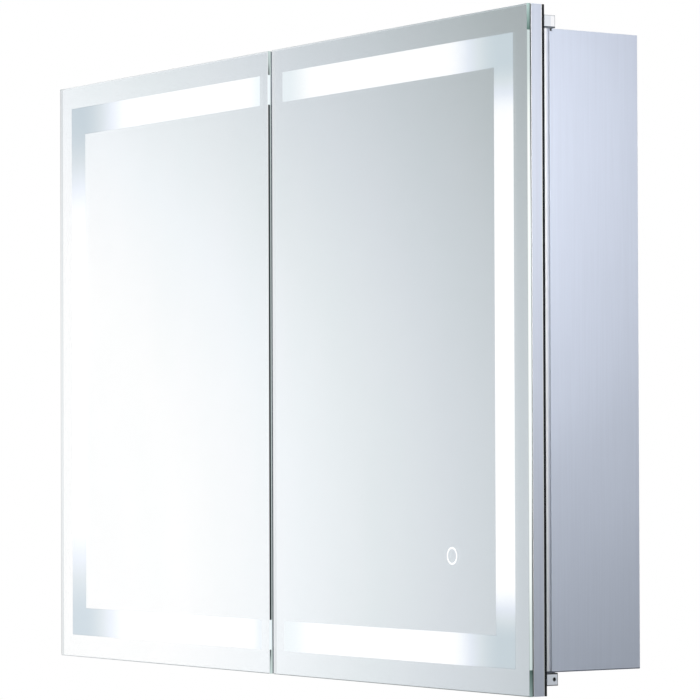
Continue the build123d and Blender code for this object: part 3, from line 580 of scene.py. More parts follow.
# ---------------------------------------------------------------- finishes
@dataclass(frozen=True)
class Metal:
    """Drawn, brushed, cast or plated metal with fine grain and a slow drift of tone.

    Fields: its name, colour, mean roughness, how metallic it is, its grain, the grain's depth in
    metres, the share by which tone and roughness drift, how dark its drawn streaks are, its sheen,
    and zones of another tone between a front and a back plane, which paint a highlight on a lip or
    an edge, or paint shade in a groove.  Each zone also has the share of painted shade by which it
    darkens near the ends of an outer upright.  The last field is a dark tone of painted shade along
    the foot of an upright that ends at half the given height.
    """

    name: str
    colour: Colour
    roughness: float
    metallic: float = 1.0
    grain: Grain = Grain.EVEN
    grain_depth: float = 1.0e-6
    grain_scale: float = 2500.0
    drift: float = 0.02
    streak: float = 0.0
    sheen: float = 0.5
    zones: tuple[tuple[float, float, Colour, float], ...] = ()
    cut: tuple[float, Colour] | None = None

    CLOUD_SCALE: ClassVar[float] = 9.0
    STREAK_SCALE: ClassVar[float] = 420.0
    END_HEIGHTS: ClassVar[tuple[float, float]] = (0.20, 0.27)
    END_SIDES: ClassVar[tuple[float, float]] = (0.20, 0.40)
    CUT_REACH: ClassVar[tuple[float, float]] = (1.3 * MM, 0.7 * MM)

    def zoned(self, graph: Graph, colour: Socket) -> Socket:
        """Lays the zones of painted highlight and shade, and the painted shade along the foot, over the
        metal.

        Args:
            graph: the material's graph.
            colour: the metal's own colour.

        Returns:
            The colour with its painted highlights and shade.
        """
        side, depth, height = graph.axes()
        # painted shade that darkens a zone towards the ends of an outer upright
        end = graph.times(graph.rise(graph.off(height), *self.END_HEIGHTS),
                          graph.rise(graph.off(side), *self.END_SIDES))
        # each zone paints a highlight or shade on the metal between its two planes
        for front, back, tone, darker in self.zones:
            inside = graph.times(graph.over(depth, front), graph.under(depth, back))
            toned = graph.blend(end, tone, shade(tone, 1.0 - darker)) if darker else tone
            colour = graph.blend(inside, colour, toned)
        # painted shade: a dark tone along the foot of the upright
        if self.cut:
            foot, tone = self.cut
            reach = (foot + edge for edge in self.CUT_REACH)
            colour = graph.blend(graph.rise(height, *reach), colour, tone)
        return colour

    def build(self) -> bpy.types.Material:
        """Makes the material."""
        material, graph = new_graph(self.name)
        grain = graph.noise(self.grain_scale, 2.0, self.grain.value)
        cloud = graph.noise(self.CLOUD_SCALE)
        colour = graph.ramp(cloud, (0.3, shade(self.colour, 1.0 - self.drift)),
                            (0.7, shade(self.colour, 1.0 + self.drift)))
        if self.streak:
            line = graph.noise(self.STREAK_SCALE, 2.0, self.grain.value)
            tone = graph.ramp(line, (0.35, shade(WHITE, 1.0 - self.streak)), (0.65, WHITE))
            colour = graph.tint(colour, tone)
        if self.zones or self.cut:
            colour = self.zoned(graph, colour)
        low, high = self.roughness * (1 - 2 * self.drift), self.roughness * (1 + 2 * self.drift)
        graph.surface(Base_Color=colour, Metallic=self.metallic, Roughness=graph.span(grain, low, high),
                      Specular_IOR_Level=self.sheen, Normal=graph.bump(grain, self.grain_depth))
        return material


@dataclass(frozen=True)
class PlatedBlock:
    """Satin-plated hinge blocks, with a painted highlight across and painted shade on the arrises of the
    outer face.

    The painted shadow on the arris beside the body is the darkest, and the painted shade on the lower
    blocks' arrises is darker than on the upper ones'.  The lower blocks carry a painted change of light.

    Fields: its name, colour, the lower blocks' painted change of light over it, the width of an arris,
    how deep the outer face counts, where the painted highlight lies from the rear, its share and tone,
    and the painted shade tones of the far, rear and near arrises, each below and above.
    """

    name: str
    colour: Colour = (0.78, 0.82, 0.86)
    lower_tone: Colour = (1.13, 1.14, 1.17)
    arris: float = 1.1 * MM
    face_depth: float = 1.15 * MM
    sweep_reach: tuple[float, float] = (6.5 * MM, 5.0 * MM)
    sweep_share: float = 0.85
    sweep_tone: Colour = (0.96, 0.97, 0.98)
    far_tones: tuple[Colour, Colour] = ((0.09, 0.10, 0.12), (0.60, 0.63, 0.65))
    rear_tones: tuple[Colour, Colour] = ((0.05, 0.055, 0.07), (0.45, 0.49, 0.52))
    near_tones: tuple[Colour, Colour] = ((0.004, 0.006, 0.012), (0.07, 0.09, 0.11))

    def build(self) -> bpy.types.Material:
        """Makes the material."""
        low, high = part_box("right_hinge_block_top")
        material, graph = new_graph(self.name)
        x, y, z = graph.axes()
        off_z = graph.off(z)
        outer = graph.over(graph.off(x), high[0] - self.face_depth)
        upper = graph.over(z, 0.0)
        # painted shadow on the arris beside the body, and painted shade on the far and rear arrises
        near = graph.rise(off_z, low[2] + 1.2 * self.arris, low[2] + 0.8 * self.arris)
        far = graph.rise(off_z, high[2] - self.arris, high[2] - 0.6 * self.arris)
        rear = graph.rise(y, high[1] - 1.3 * self.arris, high[1] - 0.9 * self.arris)
        cloud = graph.noise(40.0)
        colour = graph.ramp(cloud, (0.3, shade(self.colour, 0.97)), (0.7, shade(self.colour, 1.03)))
        # a painted change of light on the lower blocks
        colour = graph.blend(upper, graph.tint(colour, self.lower_tone), colour)
        # a painted highlight over the rear part of the upper blocks
        highlight_from, highlight_to = (high[1] - back for back in self.sweep_reach)
        sweep = graph.times(graph.rise(y, highlight_from, highlight_to), upper)
        colour = graph.blend(graph.times(sweep, self.sweep_share), colour, self.sweep_tone)
        # painted shade on the arrises of the outer face
        for share, tones in ((far, self.far_tones), (rear, self.rear_tones), (near, self.near_tones)):
            colour = graph.blend(graph.times(share, outer), colour, graph.blend(upper, *tones))
        grain = graph.noise(2500.0, 2.0)
        graph.surface(Base_Color=colour, Metallic=0.12, Roughness=graph.span(grain, 0.22, 0.27),
                      Normal=graph.bump(grain, 8.0e-7))
        return material


@dataclass(frozen=True)
class Moulding:
    """Moulded plastic, rubber or foam with a fine texture.

    Fields: its name, colour, roughness, texture scale to the metre, texture depth in metres, the
    share of light that passes under the skin, and the share that passes through.
    """

    name: str
    colour: Colour
    roughness: float
    texture: float = 1800.0
    depth: float = 8.0e-6
    under_skin: float = 0.0
    clear: float = 0.0

    def build(self) -> bpy.types.Material:
        """Makes the material."""
        material, graph = new_graph(self.name)
        grain = graph.noise(self.texture, 3.0)
        cloud = graph.noise(22.0, 2.0)
        colour = graph.ramp(cloud, (0.25, shade(self.colour, 0.93)), (0.75, shade(self.colour, 1.06)))
        rough = graph.span(grain, self.roughness * 0.85, self.roughness * 1.15)
        graph.surface(Base_Color=colour, Roughness=rough,
                      Normal=graph.bump(grain, self.depth), Subsurface_Weight=self.under_skin,
                      Subsurface_Scale=0.002, Transmission_Weight=self.clear)
        return material


@dataclass(frozen=True)
class ClearGlass:
    """Clear float glass: the green of its body comes from the depth that light crosses."""

    name: str = "clear_float_glass"
    body: Colour = (0.62, 0.88, 0.80)
    density: float = 2.5
    ior: float = 1.52

    def build(self) -> bpy.types.Material:
        """Makes the material, with a film of faint wiping marks in its roughness."""
        material, graph = new_graph(self.name)
        film = graph.noise(14.0, 4.0, (1.0, 1.0, 0.35))
        output = graph.surface(Base_Color=graph.ramp(film, (0.3, (0.99, 0.996, 0.994)), (0.7, WHITE)),
                               Roughness=graph.span(film, 0.0, 0.006), IOR=self.ior,
                               Transmission_Weight=1.0)
        absorb = graph.node("ShaderNodeVolumeAbsorption")
        absorb.inputs["Color"].default_value = (*self.body, 1.0)
        absorb.inputs["Density"].default_value = self.density
        graph.wire(absorb.outputs[0], output.inputs["Volume"])
        return material


@dataclass(frozen=True)
class GroundEdge:
    """The ground edge round a lit pane, as it shows where the light of the etched band leaks out.

    On the edge by the hinges the green of the glass runs in painted light and shade from pale at the
    corners to dark at the band's level, and a painted glow of the band's leaked light lights it from
    there on, with painted shade in the seam at its back near the ends.  On the edge at the cabinet's
    middle only the ends of the two level rows have a painted glow, and a painted dark core of shade lies
    between a pale front and a grey-green back.  All the glow is laid on as emission.  The inner wall and
    the front carry a painted reflection of the silvered glass beside them, with painted shade on the
    bottom arris.

    Fields: its name, the door's sizes, how soft the painted glow's borders are, how near a face counts as the
    inner wall or the front, how far down the painted glow reaches its full tone, and where the painted shade
    in the seam gives way.
    """

    name: str
    sizes: DoorSizes
    soft: float = 0.8 * MM
    soft_back: float = 1.0 * MM
    wall_near: float = 0.1 * MM
    front_near: float = 0.05 * MM
    glow_length: float = 0.14
    seam_opens: tuple[float, float] = (0.22, 0.10)

    # tones of painted light: the green glass's painted light and shade, its painted glow, the painted shade
    # of the seam and the core, and the painted reflection on the inner wall and the front
    END_GREEN: ClassVar[Stops] = ((0.0, (0.44, 0.60, 0.57)), (0.45, (0.27, 0.40, 0.37)),
                                  (0.80, (0.16, 0.26, 0.23)), (1.0, (0.09, 0.17, 0.15)))
    LIT_GREEN: ClassVar[Stops] = ((0.20, (0.58, 0.68, 0.67)), (0.45, (0.64, 0.73, 0.72)),
                                  (0.75, (0.88, 0.94, 0.91)), (1.0, (0.93, 0.97, 0.95)))
    ENDS_SEAM: ClassVar[Stops] = ((0.0, grey(0.85)), (0.3, WHITE), (0.72, grey(0.90)),
                                  (0.84, (0.42, 0.43, 0.44)), (1.0, (0.06, 0.06, 0.065)))
    OPEN_SEAM: ClassVar[Stops] = ((0.0, grey(0.85)), (0.3, WHITE), (1.0, (0.95, 0.96, 0.97)))
    ROW_GLOW: ClassVar[Stops] = ((0.0, (0.86, 0.93, 0.95)), (0.5, (0.86, 0.94, 0.96)),
                                 (0.8, (0.76, 0.84, 0.86)), (1.0, (0.55, 0.61, 0.62)))
    CORE: ClassVar[Stops] = ((0.0, (0.94, 0.96, 0.97)), (0.10, (0.86, 0.88, 0.89)),
                             (0.14, (0.004, 0.006, 0.006)), (0.63, (0.004, 0.006, 0.006)),
                             (0.70, (0.34, 0.41, 0.40)), (1.0, (0.62, 0.68, 0.68)))
    END_FRONT: ClassVar[Stops] = ((0.0, (0.48, 0.60, 0.58)), (0.50, (0.34, 0.41, 0.40)),
                                  (0.78, (0.10, 0.13, 0.125)), (1.0, (0.02, 0.03, 0.03)))
    # painted reflection of the mirror's tone on the inner wall and the front, across and upwards
    ACROSS_TONE: ClassVar[Stops] = ((0.0, (0.85, 0.87, 0.88)), (0.03, (0.97, 0.98, 0.99)),
                                    (0.5, (0.88, 0.90, 0.92)), (1.0, (0.50, 0.55, 0.57)))
    UPWARD_TONE: ClassVar[Stops] = ((0.0, grey(0.88)), (0.30, WHITE), (0.60, grey(0.97)),
                                    (1.0, (0.80, 0.81, 0.82)))
    # painted reflection fading across the front arris, and painted shade on the bottom arris
    WORN: ClassVar[Stops] = ((0.0, grey(0.04)), (0.02, grey(0.90)), (0.6, grey(0.86)), (1.0, grey(0.72)))
    BELOW: ClassVar[Stops] = ((0.0, (0.60, 0.62, 0.63)), (0.35, (0.42, 0.45, 0.46)),
                              (1.0, (0.20, 0.22, 0.23)))
    GREEN_DEPTH: ClassVar[Stops] = ((0.0, grey(0.92)), (0.3, grey(1.15)), (0.7, grey(0.92)),
                                    (1.0, grey(0.42)))

    def build(self) -> bpy.types.Material:
        """Makes the material."""
        s = self.sizes
        material, graph = new_graph(self.name)
        x, y, z = graph.axes()
        reach = s.band_margin + s.band_width
        from_end = graph.minus(s.half_height, graph.off(z))
        from_outer = graph.minus(s.outer_x, graph.off(x))
        from_inner = graph.minus(graph.off(x), s.inner_x)
        from_edge = graph.smaller(from_end, graph.smaller(from_outer, from_inner))
        level = graph.ratio(from_end, s.band_margin)
        depth = graph.ratio(graph.minus(y, s.front_y), s.glass_back_y - s.front_y)
        by_hinge = graph.under(from_outer, s.arris)
        by_middle = graph.under(from_inner, s.arris)
        wall = graph.times(graph.over(from_edge, s.rim_width - self.wall_near),
                           graph.over(y, s.front_y + self.wall_near))
        # the edge by the hinges: a painted glow of leaked light, with painted shade in the seam near the ends
        lit = graph.rise(from_end, s.band_margin, s.band_margin + self.soft)
        lit_green = graph.ramp(graph.ratio(from_end, self.glow_length), *self.LIT_GREEN)
        seam = graph.blend(graph.rise(graph.off(z), *self.seam_opens), graph.ramp(depth, *self.ENDS_SEAM),
                           graph.ramp(depth, *self.OPEN_SEAM))
        hinge_glow = graph.blend(graph.times(by_hinge, lit), BLACK, graph.tint(lit_green, seam))
        # the edge at the cabinet's middle: a painted glow at the rows' ends, and a painted dark core of shade
        # between a pale front and a grey-green back
        row = graph.times(lit, graph.minus(1.0, graph.rise(from_end, reach, reach + self.soft)))
        end_front = graph.blend(graph.rise(depth, 0.22, 0.12), graph.ramp(level, *self.END_FRONT),
                                (0.72, 0.76, 0.77))
        middle_end = graph.blend(graph.rise(depth, 0.54, 0.66), end_front, (0.58, 0.68, 0.66))
        middle_core = graph.blend(graph.rise(from_end, reach, reach + self.soft_back), middle_end,
                                  graph.ramp(depth, *self.CORE))
        middle_glow = graph.blend(row, middle_core, graph.ramp(depth, *self.ROW_GLOW))
        shine = graph.blend(by_middle, hinge_glow, middle_glow)
        # the inner wall and the front: a painted reflection of the mirror's tone, with painted shade on the
        # bottom arris
        across = graph.plus(graph.times(x, 0.5 / s.outer_x), 0.5)
        upward = graph.plus(graph.times(z, 0.5 / s.half_height), 0.5)
        tone = graph.tint(graph.ramp(across, *self.ACROSS_TONE), graph.ramp(upward, *self.UPWARD_TONE))
        shine = graph.blend(wall, shine, tone)
        front = graph.under(y, s.front_y + self.front_near)
        # the bottom arris, which gets painted shade
        under = graph.rise(z, -s.half_height + 2.4 * s.rim_width, -s.half_height + 1.1 * s.rim_width)
        below = graph.ramp(across, *self.BELOW)
        front_reflection = graph.blend(under, graph.tint(tone, graph.ramp(across, *self.WORN)), below)
        shine = graph.blend(front, shine, front_reflection)
        # the ground glass itself, where nothing shines: green with painted light and shade along the edge,
        # darkest in painted shade at the back
        green = graph.tint(graph.ramp(level, *self.END_GREEN), graph.ramp(depth, *self.GREEN_DEPTH))
        colour = graph.blend(by_hinge, graph.blend(under, (0.66, 0.71, 0.72), below), green)
        unlit = graph.minus(1.0, graph.times(by_hinge, lit))
        shining = graph.larger(graph.larger(by_middle, front), wall)
        matt = graph.times(unlit, graph.minus(1.0, shining))
        frost = graph.noise(1600.0, 2.0)
        graph.surface(Base_Color=graph.blend(matt, (0.04, 0.045, 0.045), colour),
                      Roughness=graph.span(frost, 0.30, 0.42), Emission_Color=shine,
                      Emission_Strength=1.0, Normal=graph.bump(frost, 3.0e-6))
        return material


@dataclass(frozen=True)
class Silvering:
    """The silver coat on the back of a glass, with its grey backing paint behind.

    The coat faces -Y where y is under the split plane, and the paint covers the rest.
    """

    name: str
    split_y: float
    silver: Colour = (0.95, 0.965, 0.97)
    paint: Colour = (0.33, 0.35, 0.37)

    def build(self) -> bpy.types.Material:
        """Makes the material."""
        material, graph = new_graph(self.name)
        _, y, _ = graph.axes()
        behind = graph.over(y, self.split_y)
        tone = graph.noise(5.0, 3.0)
        silver = graph.ramp(tone, (0.3, shade(self.silver, 0.992)), (0.7, self.silver))
        speckle = graph.noise(900.0, 3.0)
        paint = graph.ramp(speckle, (0.3, shade(self.paint, 0.85)), (0.7, shade(self.paint, 1.1)))
        graph.surface(Base_Color=graph.blend(behind, silver, paint),
                      Metallic=graph.minus(1.0, behind),
                      Roughness=graph.plus(graph.times(behind, 0.55), 0.004))
        return material


@dataclass(frozen=True)
class EdgedMirror:
    """A thin mirror pane with painted edges: paint lies within the rim of its outline.

    Fields: its name, the mirrored area as (x low, x high, half height), the paint's
    colour, and the silver's colour.
    """

    name: str
    area: tuple[float, float, float]
    paint: Colour = (0.012, 0.012, 0.014)
    silver: Colour = (0.90, 0.93, 0.925)

    def build(self) -> bpy.types.Material:
        """Makes the material."""
        material, graph = new_graph(self.name)
        x, _, z = graph.axes()
        middle, half = (self.area[0] + self.area[1]) / 2, (self.area[1] - self.area[0]) / 2
        off_x = graph.off(x)
        if middle:
            off_x = graph.off(graph.minus(off_x, abs(middle)))
        off_z = graph.off(z)
        rim = graph.larger(graph.over(off_x, half),
                         graph.over(off_z, self.area[2]))
        tone = graph.noise(6.0, 3.0)
        silver = graph.ramp(tone, (0.3, shade(self.silver, 0.985)), (0.7, self.silver))
        speck = graph.noise(1500.0, 2.0)
        paint = graph.ramp(speck, (0.3, shade(self.paint, 0.7)), (0.7, shade(self.paint, 1.6)))
        graph.surface(Base_Color=graph.blend(rim, silver, paint), Metallic=graph.minus(1.0, rim),
                      Specular_IOR_Level=0.12,
                      Roughness=graph.plus(graph.times(rim, 0.38), 0.008))
        return material


@dataclass(frozen=True)
class EtchedLight:
    """Etched glass lit from behind by strips that stop short of the corners.

    Along a level row the light rises between two distances from the door's outer edge, and along
    the upright it rises between two distances from its ends; the rows' inner ends fade a little.
    A fine line marks the etching's border where it is dim.

    Fields: its name, the door's sizes, the two reaches of the rise, the tone of the unlit corners
    and how much the lower ones differ from it, the rows' tone at their inner ends at the bottom
    and at the top with the stretch over which it fades, the strength of the full light, and how far
    inside the etching's border its fine line lies.
    """

    name: str
    sizes: DoorSizes
    row_reach: tuple[float, float] = (0.046, 0.138)
    upright_reach: tuple[float, float] = (0.050, 0.106)
    corner: Colour = (0.545, 0.625, 0.675)
    low_share: float = 0.93
    end_tones: tuple[Colour, Colour] = ((0.83, 0.88, 0.905), (0.77, 0.83, 0.86))
    end_reach: tuple[float, float] = (0.032, 0.085)
    strength: float = 1.06
    line_reach: tuple[float, float] = (1.1 * MM, 0.5 * MM)

    def build(self) -> bpy.types.Material:
        """Makes the material."""
        s = self.sizes
        material, graph = new_graph(self.name)
        x, _, z = graph.axes()
        off_x = graph.off(x)
        from_outer = graph.minus(s.outer_x, off_x)
        from_end = graph.minus(s.half_height, graph.off(z))
        wander = graph.span(graph.noise(30.0, 2.0), -0.003, 0.003)
        row = graph.rise(graph.plus(from_outer, wander), *self.row_reach)
        upright = graph.rise(graph.plus(from_end, wander), *self.upright_reach)
        both = graph.larger(row, upright)
        stripes = graph.span(graph.noise(160.0, 1.0, (1.0, 0.05, 0.05)), 0.985, 1.0)
        glow = graph.times(both, stripes)
        c = self.corner
        colour = graph.ramp(glow, (0.0, c), (0.30, tuple(k + 0.26 * (1 - k) for k in c)),
                            (0.60, (0.755, 0.80, 0.88)), (0.85, (0.91, 0.935, 0.975)), (1.0, WHITE))
        higher = graph.rise(z, -0.5 * s.half_height, 0.5 * s.half_height)
        dim_end = graph.blend(higher, *self.end_tones)
        faded = graph.blend(graph.rise(off_x, *self.end_reach), dim_end, WHITE)
        lower_corner = graph.times(graph.minus(1.0, higher), graph.minus(1.0, both))
        faded = graph.tint(faded, graph.blend(lower_corner, WHITE, grey(self.low_share)))
        from_edge = graph.smaller(from_outer, from_end)
        middle = s.band_margin + s.band_width / 2
        off_middle = graph.off(graph.minus(from_edge, middle))
        line_from, line_to = (s.band_width / 2 - inset for inset in self.line_reach)
        border = graph.rise(off_middle, line_from, line_to)
        line = graph.blend(border, WHITE, grey(0.86))
        lined = graph.tint(colour, graph.blend(both, line, WHITE))
        frost = graph.noise(2200.0, 2.0)
        graph.surface(Base_Color=graph.ramp(frost, (0.3, (0.05, 0.053, 0.055)), (0.7, (0.065, 0.068, 0.07))),
                      Roughness=graph.span(frost, 0.5, 0.65), Emission_Color=graph.tint(lined, faded),
                      Emission_Strength=self.strength, Normal=graph.bump(frost, 4.0e-6))
        return material


@dataclass(frozen=True)
class CircuitTape:
    """White circuit tape or green board with fine copper tracks showing through its lacquer."""

    name: str
    lacquer: Colour
    copper: Colour = (0.70, 0.45, 0.25)
    pitch: float = 100.0

    def build(self) -> bpy.types.Material:
        """Makes the material."""
        material, graph = new_graph(self.name)
        x, _, z = graph.axes()
        wave = graph.math("SINE", graph.times(graph.plus(x, z), self.pitch * 2 * math.pi))
        pad = graph.rise(wave, 0.90, 0.97)
        soft = graph.noise(60.0, 2.0)
        lacquer = graph.ramp(soft, (0.3, shade(self.lacquer, 0.93)), (0.7, self.lacquer))
        graph.surface(Base_Color=graph.blend(graph.times(pad, 0.55), lacquer, self.copper),
                      Roughness=graph.span(soft, 0.30, 0.42), Normal=graph.bump(pad, 2.0e-5))
        return material


# ---------------------------------------------------------------- the cabinet
@dataclass
class FinishBook:
    """The finishes of the record's material slots, made once each."""

    NEARER: ClassVar[tuple[tuple[str, str], ...]] = (("set_screw", "black_steel"),
                                                     ("pivot_washers", "grey_nylon"))

    sizes: DoorSizes
    made: dict[str, bpy.types.Material] = field(default_factory=dict)

    def uprights(self) -> dict[str, Finish]:
        """The two aluminium finishes with zones of painted highlight and shade: the side panels and the door
        frames.
        """
        nose_highlight: Colour = (0.92, 0.95, 0.98)
        return {
            # side panels: a painted highlight on the front lip, painted shade on the groove floor and on the
            # step wall behind it, and painted shade along the foot
            "side_aluminium": Metal("side_aluminium", (0.690, 0.757, 0.878), 0.42, 0.02, Grain.UPRIGHT,
                                    6e-7, streak=0.025, sheen=0.3,
                                    zones=((-1.0, -108.6 * MM, (0.87, 0.89, 0.92), 0.0),
                                           (-108.6 * MM, -107.0 * MM, (0.68, 0.72, 0.78), 0.0),
                                           (-107.0 * MM, -106.6 * MM, (0.47, 0.51, 0.58), 0.0)),
                                    cut=(-307.5 * MM, (0.13, 0.15, 0.20))),
            # door frames: a painted highlight on the front face and its chamfer, with painted shade near the
            # ends of the upright, and a painted highlight over the rear
            "frame_aluminium": Metal("frame_aluminium", (0.640, 0.697, 0.803), 0.38, 0.02, Grain.UPRIGHT,
                                     6e-7, streak=0.04, sheen=0.3,
                                     zones=((-1.0, -128.42 * MM, nose_highlight, 0.60),
                                            (-128.42 * MM, -128.05 * MM, nose_highlight, 0.0),
                                            (-116.5 * MM, 0.0, (0.90, 0.93, 0.96), 0.0))),
        }

    def recipes(self) -> dict[str, Finish]:
        """The finish of each slot."""
        back_low, back_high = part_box("back_mirror")
        rim = 0.35 * MM
        back = (back_low[0] + rim, back_high[0] - rim, back_high[2] - rim)
        inner = (self.sizes.inner_x + rim, self.sizes.outer_x - rim, self.sizes.half_height - rim)
        return self.uprights() | {
            "sheet_aluminium": Metal("sheet_aluminium", (0.78, 0.79, 0.81), 0.45, 0.6, Grain.ACROSS, 8e-7),
            "rivet_aluminium": Metal("rivet_aluminium", grey(0.80), 0.35),
            "screw_steel": Metal("screw_steel", (0.62, 0.63, 0.64), 0.28),
            "clip_steel": Metal("clip_steel", (0.70, 0.71, 0.72), 0.24, 1.0, Grain.ACROSS),
            "hinge_metal": PlatedBlock("hinge_metal"),
            "grey_nylon": Moulding("grey_nylon", (0.22, 0.245, 0.275), 0.45),
            "black_steel": Metal("black_steel", (0.025, 0.026, 0.03), 0.45, 0.3, Grain.EVEN, 6e-7),
            "key_zinc": Metal("key_zinc", (0.50, 0.51, 0.53), 0.5, 0.9, Grain.EVEN, 2e-5, 900.0, 0.1),
            "silvered_glass": EdgedMirror("back_mirror_glass", back, (0.10, 0.22, 0.18)),
            "silvered_glass_black_edge": EdgedMirror("inner_mirror_glass", inner),
            "clear_glass": ClearGlass("shelf_glass", (0.50, 0.80, 0.70), 12.0),
            "clear_plastic": Moulding("clear_plastic", (0.86, 0.88, 0.89), 0.12, 600.0, 2e-6, 0.0, 0.75),
            "white_plastic": Moulding("white_plastic", (0.82, 0.82, 0.81), 0.42, 1500.0, 1.2e-5, 0.05),
            "dark_nylon": Moulding("dark_nylon", (0.045, 0.045, 0.05), 0.5),
            "black_rubber": Moulding("black_rubber", (0.02, 0.02, 0.021), 0.7, 1200.0, 1.5e-5),
            "clear_rubber": Moulding("clear_rubber", (0.75, 0.77, 0.77), 0.35, 700.0, 4e-6, 0.3, 0.3),
            "black_foam": Moulding("black_foam", (0.025, 0.025, 0.028), 0.9, 700.0, 6e-5),
            "opal_plastic": Moulding("opal_plastic", (0.90, 0.91, 0.92), 0.5, 1500.0, 5e-6, 0.25),
            "circuit_white": CircuitTape("circuit_white", (0.88, 0.88, 0.86)),
            "circuit_green": CircuitTape("circuit_green", (0.04, 0.26, 0.12), pitch=260.0),
        }

    def build(self) -> None:
        """Makes each finish."""
        for slot, recipe in self.recipes().items():
            self.made[slot] = recipe.build()
            LOG.info("finish %s", slot)

    def dress_nodes(self) -> None:
        """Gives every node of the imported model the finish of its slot."""
        for subpart in frame["record"]["subparts"]:
            node = frame["nodes"][subpart["node"]]
            node.data.materials.clear()
            slot = next((finish for ending, finish in self.NEARER if subpart["node"].endswith(ending)),
                        subpart["material_slot"])
            node.data.materials.append(self.made[slot])


@dataclass
class DoorGlass:
    """One door's front mirror: clear glass, silver coat, etched band, and on the right the touch ring."""

    side: Side
    sizes: DoorSizes

    def place(self, made: Shape) -> Shape:
        """Takes points of the right-hand door to this door by the sign of X.

        Args:
            made: points and faces of the right-hand door's piece.

        Returns:
            The points and faces for this door.
        """
        vertices, faces = made
        return vertices * np.array([self.side.value, 1.0, 1.0]), faces

    def layer(self, number: int) -> tuple[float, float]:
        """Planes of one coating.

        Args:
            number: 0, 1, ... counted back from the glass.

        Returns:
            Its front and back planes.
        """
        s = self.sizes
        front = s.glass_back_y + s.coat_gap + number * (s.coat_gap + s.coat_thickness)
        return front, front + s.coat_thickness

    def band_light(self) -> EtchedLight:
        """The light of this door's band; the left one rises over a longer stretch."""
        if self.side is Side.RIGHT:
            return EtchedLight("right_etched_light", self.sizes)
        return EtchedLight("left_etched_light", self.sizes, row_reach=(0.048, 0.168),
                           upright_reach=(0.040, 0.175), corner=(0.455, 0.535, 0.595), low_share=1.10,
                           end_tones=((0.80, 0.85, 0.90), (0.86, 0.92, 0.95)), end_reach=(0.020, 0.050))

    def edge_section(self) -> list[tuple[float, float]]:
        """Insets and planes of the ground edge's section, with its two arrises."""
        s = self.sizes
        return [(s.arris, s.front_y), (s.rim_width, s.front_y), (s.rim_width, s.glass_back_y),
                (s.arris, s.glass_back_y), (0.0, s.glass_back_y - s.arris), (0.0, s.front_y + s.arris)]

    def build(self) -> None:
        """Makes the door's pieces."""
        s, word, body = self.sizes, self.side.word, self.side.body
        edge = make_piece(f"{word}_ground_edge", *self.place(
            rim(s.inner_x, s.outer_x, s.half_height, self.edge_section(), STEP)),
            body, GroundEdge(f"{word}_ground_edge_glass", s).build(), "silvered_glass")
        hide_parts(f"{word}_door_mirror")
        inset = s.rim_width - s.rim_let_in
        make_piece(f"{word}_front_glass", *self.place(
            pane(s.inner_x + inset, s.outer_x - inset, s.half_height - inset, s.front_y + s.rim_proud,
                 s.glass_back_y - s.rim_proud, s.rim_proud)),
            body, ClearGlass().build(), "silvered_glass")
        y0, y1 = self.layer(1)
        silver = Silvering(f"{word}_silvering", (y0 + y1) / 2).build()
        make_piece(f"{word}_silver_coat", *self.place(
            pane(s.inner_x, s.outer_x, s.half_height, y0, y1, s.coat_thickness / 4)),
            body, silver, "silvered_glass")
        middle = s.band_margin + s.band_width / 2
        row_z, upright_x = s.half_height - middle, s.outer_x - middle
        path = np.array([(s.band_inner_x, row_z), (upright_x, row_z),
                         (upright_x, -row_z), (s.band_inner_x, -row_z)])
        y0, y1 = self.layer(0)
        make_piece(f"{word}_etched_band", *self.place(strip(path, s.band_width, y0, y1, STEP)),
                   body, self.band_light().build(), "silvered_glass")
        if self.side is Side.RIGHT:
            ring_light = EtchedLight("touch_ring_light", s, (-1.0, 0.0), (-1.0, 0.0), strength=1.15).build()
            ring_x, ring_z = s.outer_x - s.ring_from_outer, -s.half_height + s.ring_from_bottom
            make_piece("touch_ring_mark", *washer(ring_x, ring_z, s.ring_radius, s.ring_radius - s.ring_line,
                                                  y0, y1, RING_SEGMENTS), body, ring_light, "silvered_glass")


# ---------------------------------------------------------------- studio
def stand(right: np.ndarray, up: np.ndarray, back: np.ndarray, place: Point) -> Matrix:
    """The matrix of a lamp or camera.

    Args:
        right, up, back: its own three directions, each of length 1.
        place: where it stands.

    Returns:
        The matrix.
    """
    matrix = np.eye(4)
    matrix[:3, 0], matrix[:3, 1], matrix[:3, 2], matrix[:3, 3] = right, up, back, place
    return Matrix(matrix.tolist())


@dataclass(frozen=True)
class Softbox:
    """A square lamp that only lights: its place, what it points at, size in metres, power and tint."""

    name: str
    stands: Point
    aims: Point
    size: float
    power: float
    tint: Colour = WHITE

    def build(self) -> None:
        """Makes the lamp."""
        data = bpy.data.lights.new(self.name, "AREA")
        data.shape = "SQUARE"
        data.size = self.size
        data.energy = self.power
        data.color = self.tint
        lamp = bpy.data.objects.new(self.name, data)
        bpy.context.scene.collection.objects.link(lamp)
        back = np.array(self.stands) - np.array(self.aims)
        back /= np.linalg.norm(back)
        right = np.cross((0.0, 0.0, 1.0), back)
        right /= np.linalg.norm(right)
        lamp.matrix_world = stand(right, np.cross(back, right), back, self.stands)
        lamp.visible_camera = False
        lamp.visible_glossy = False
        lamp.visible_transmission = False


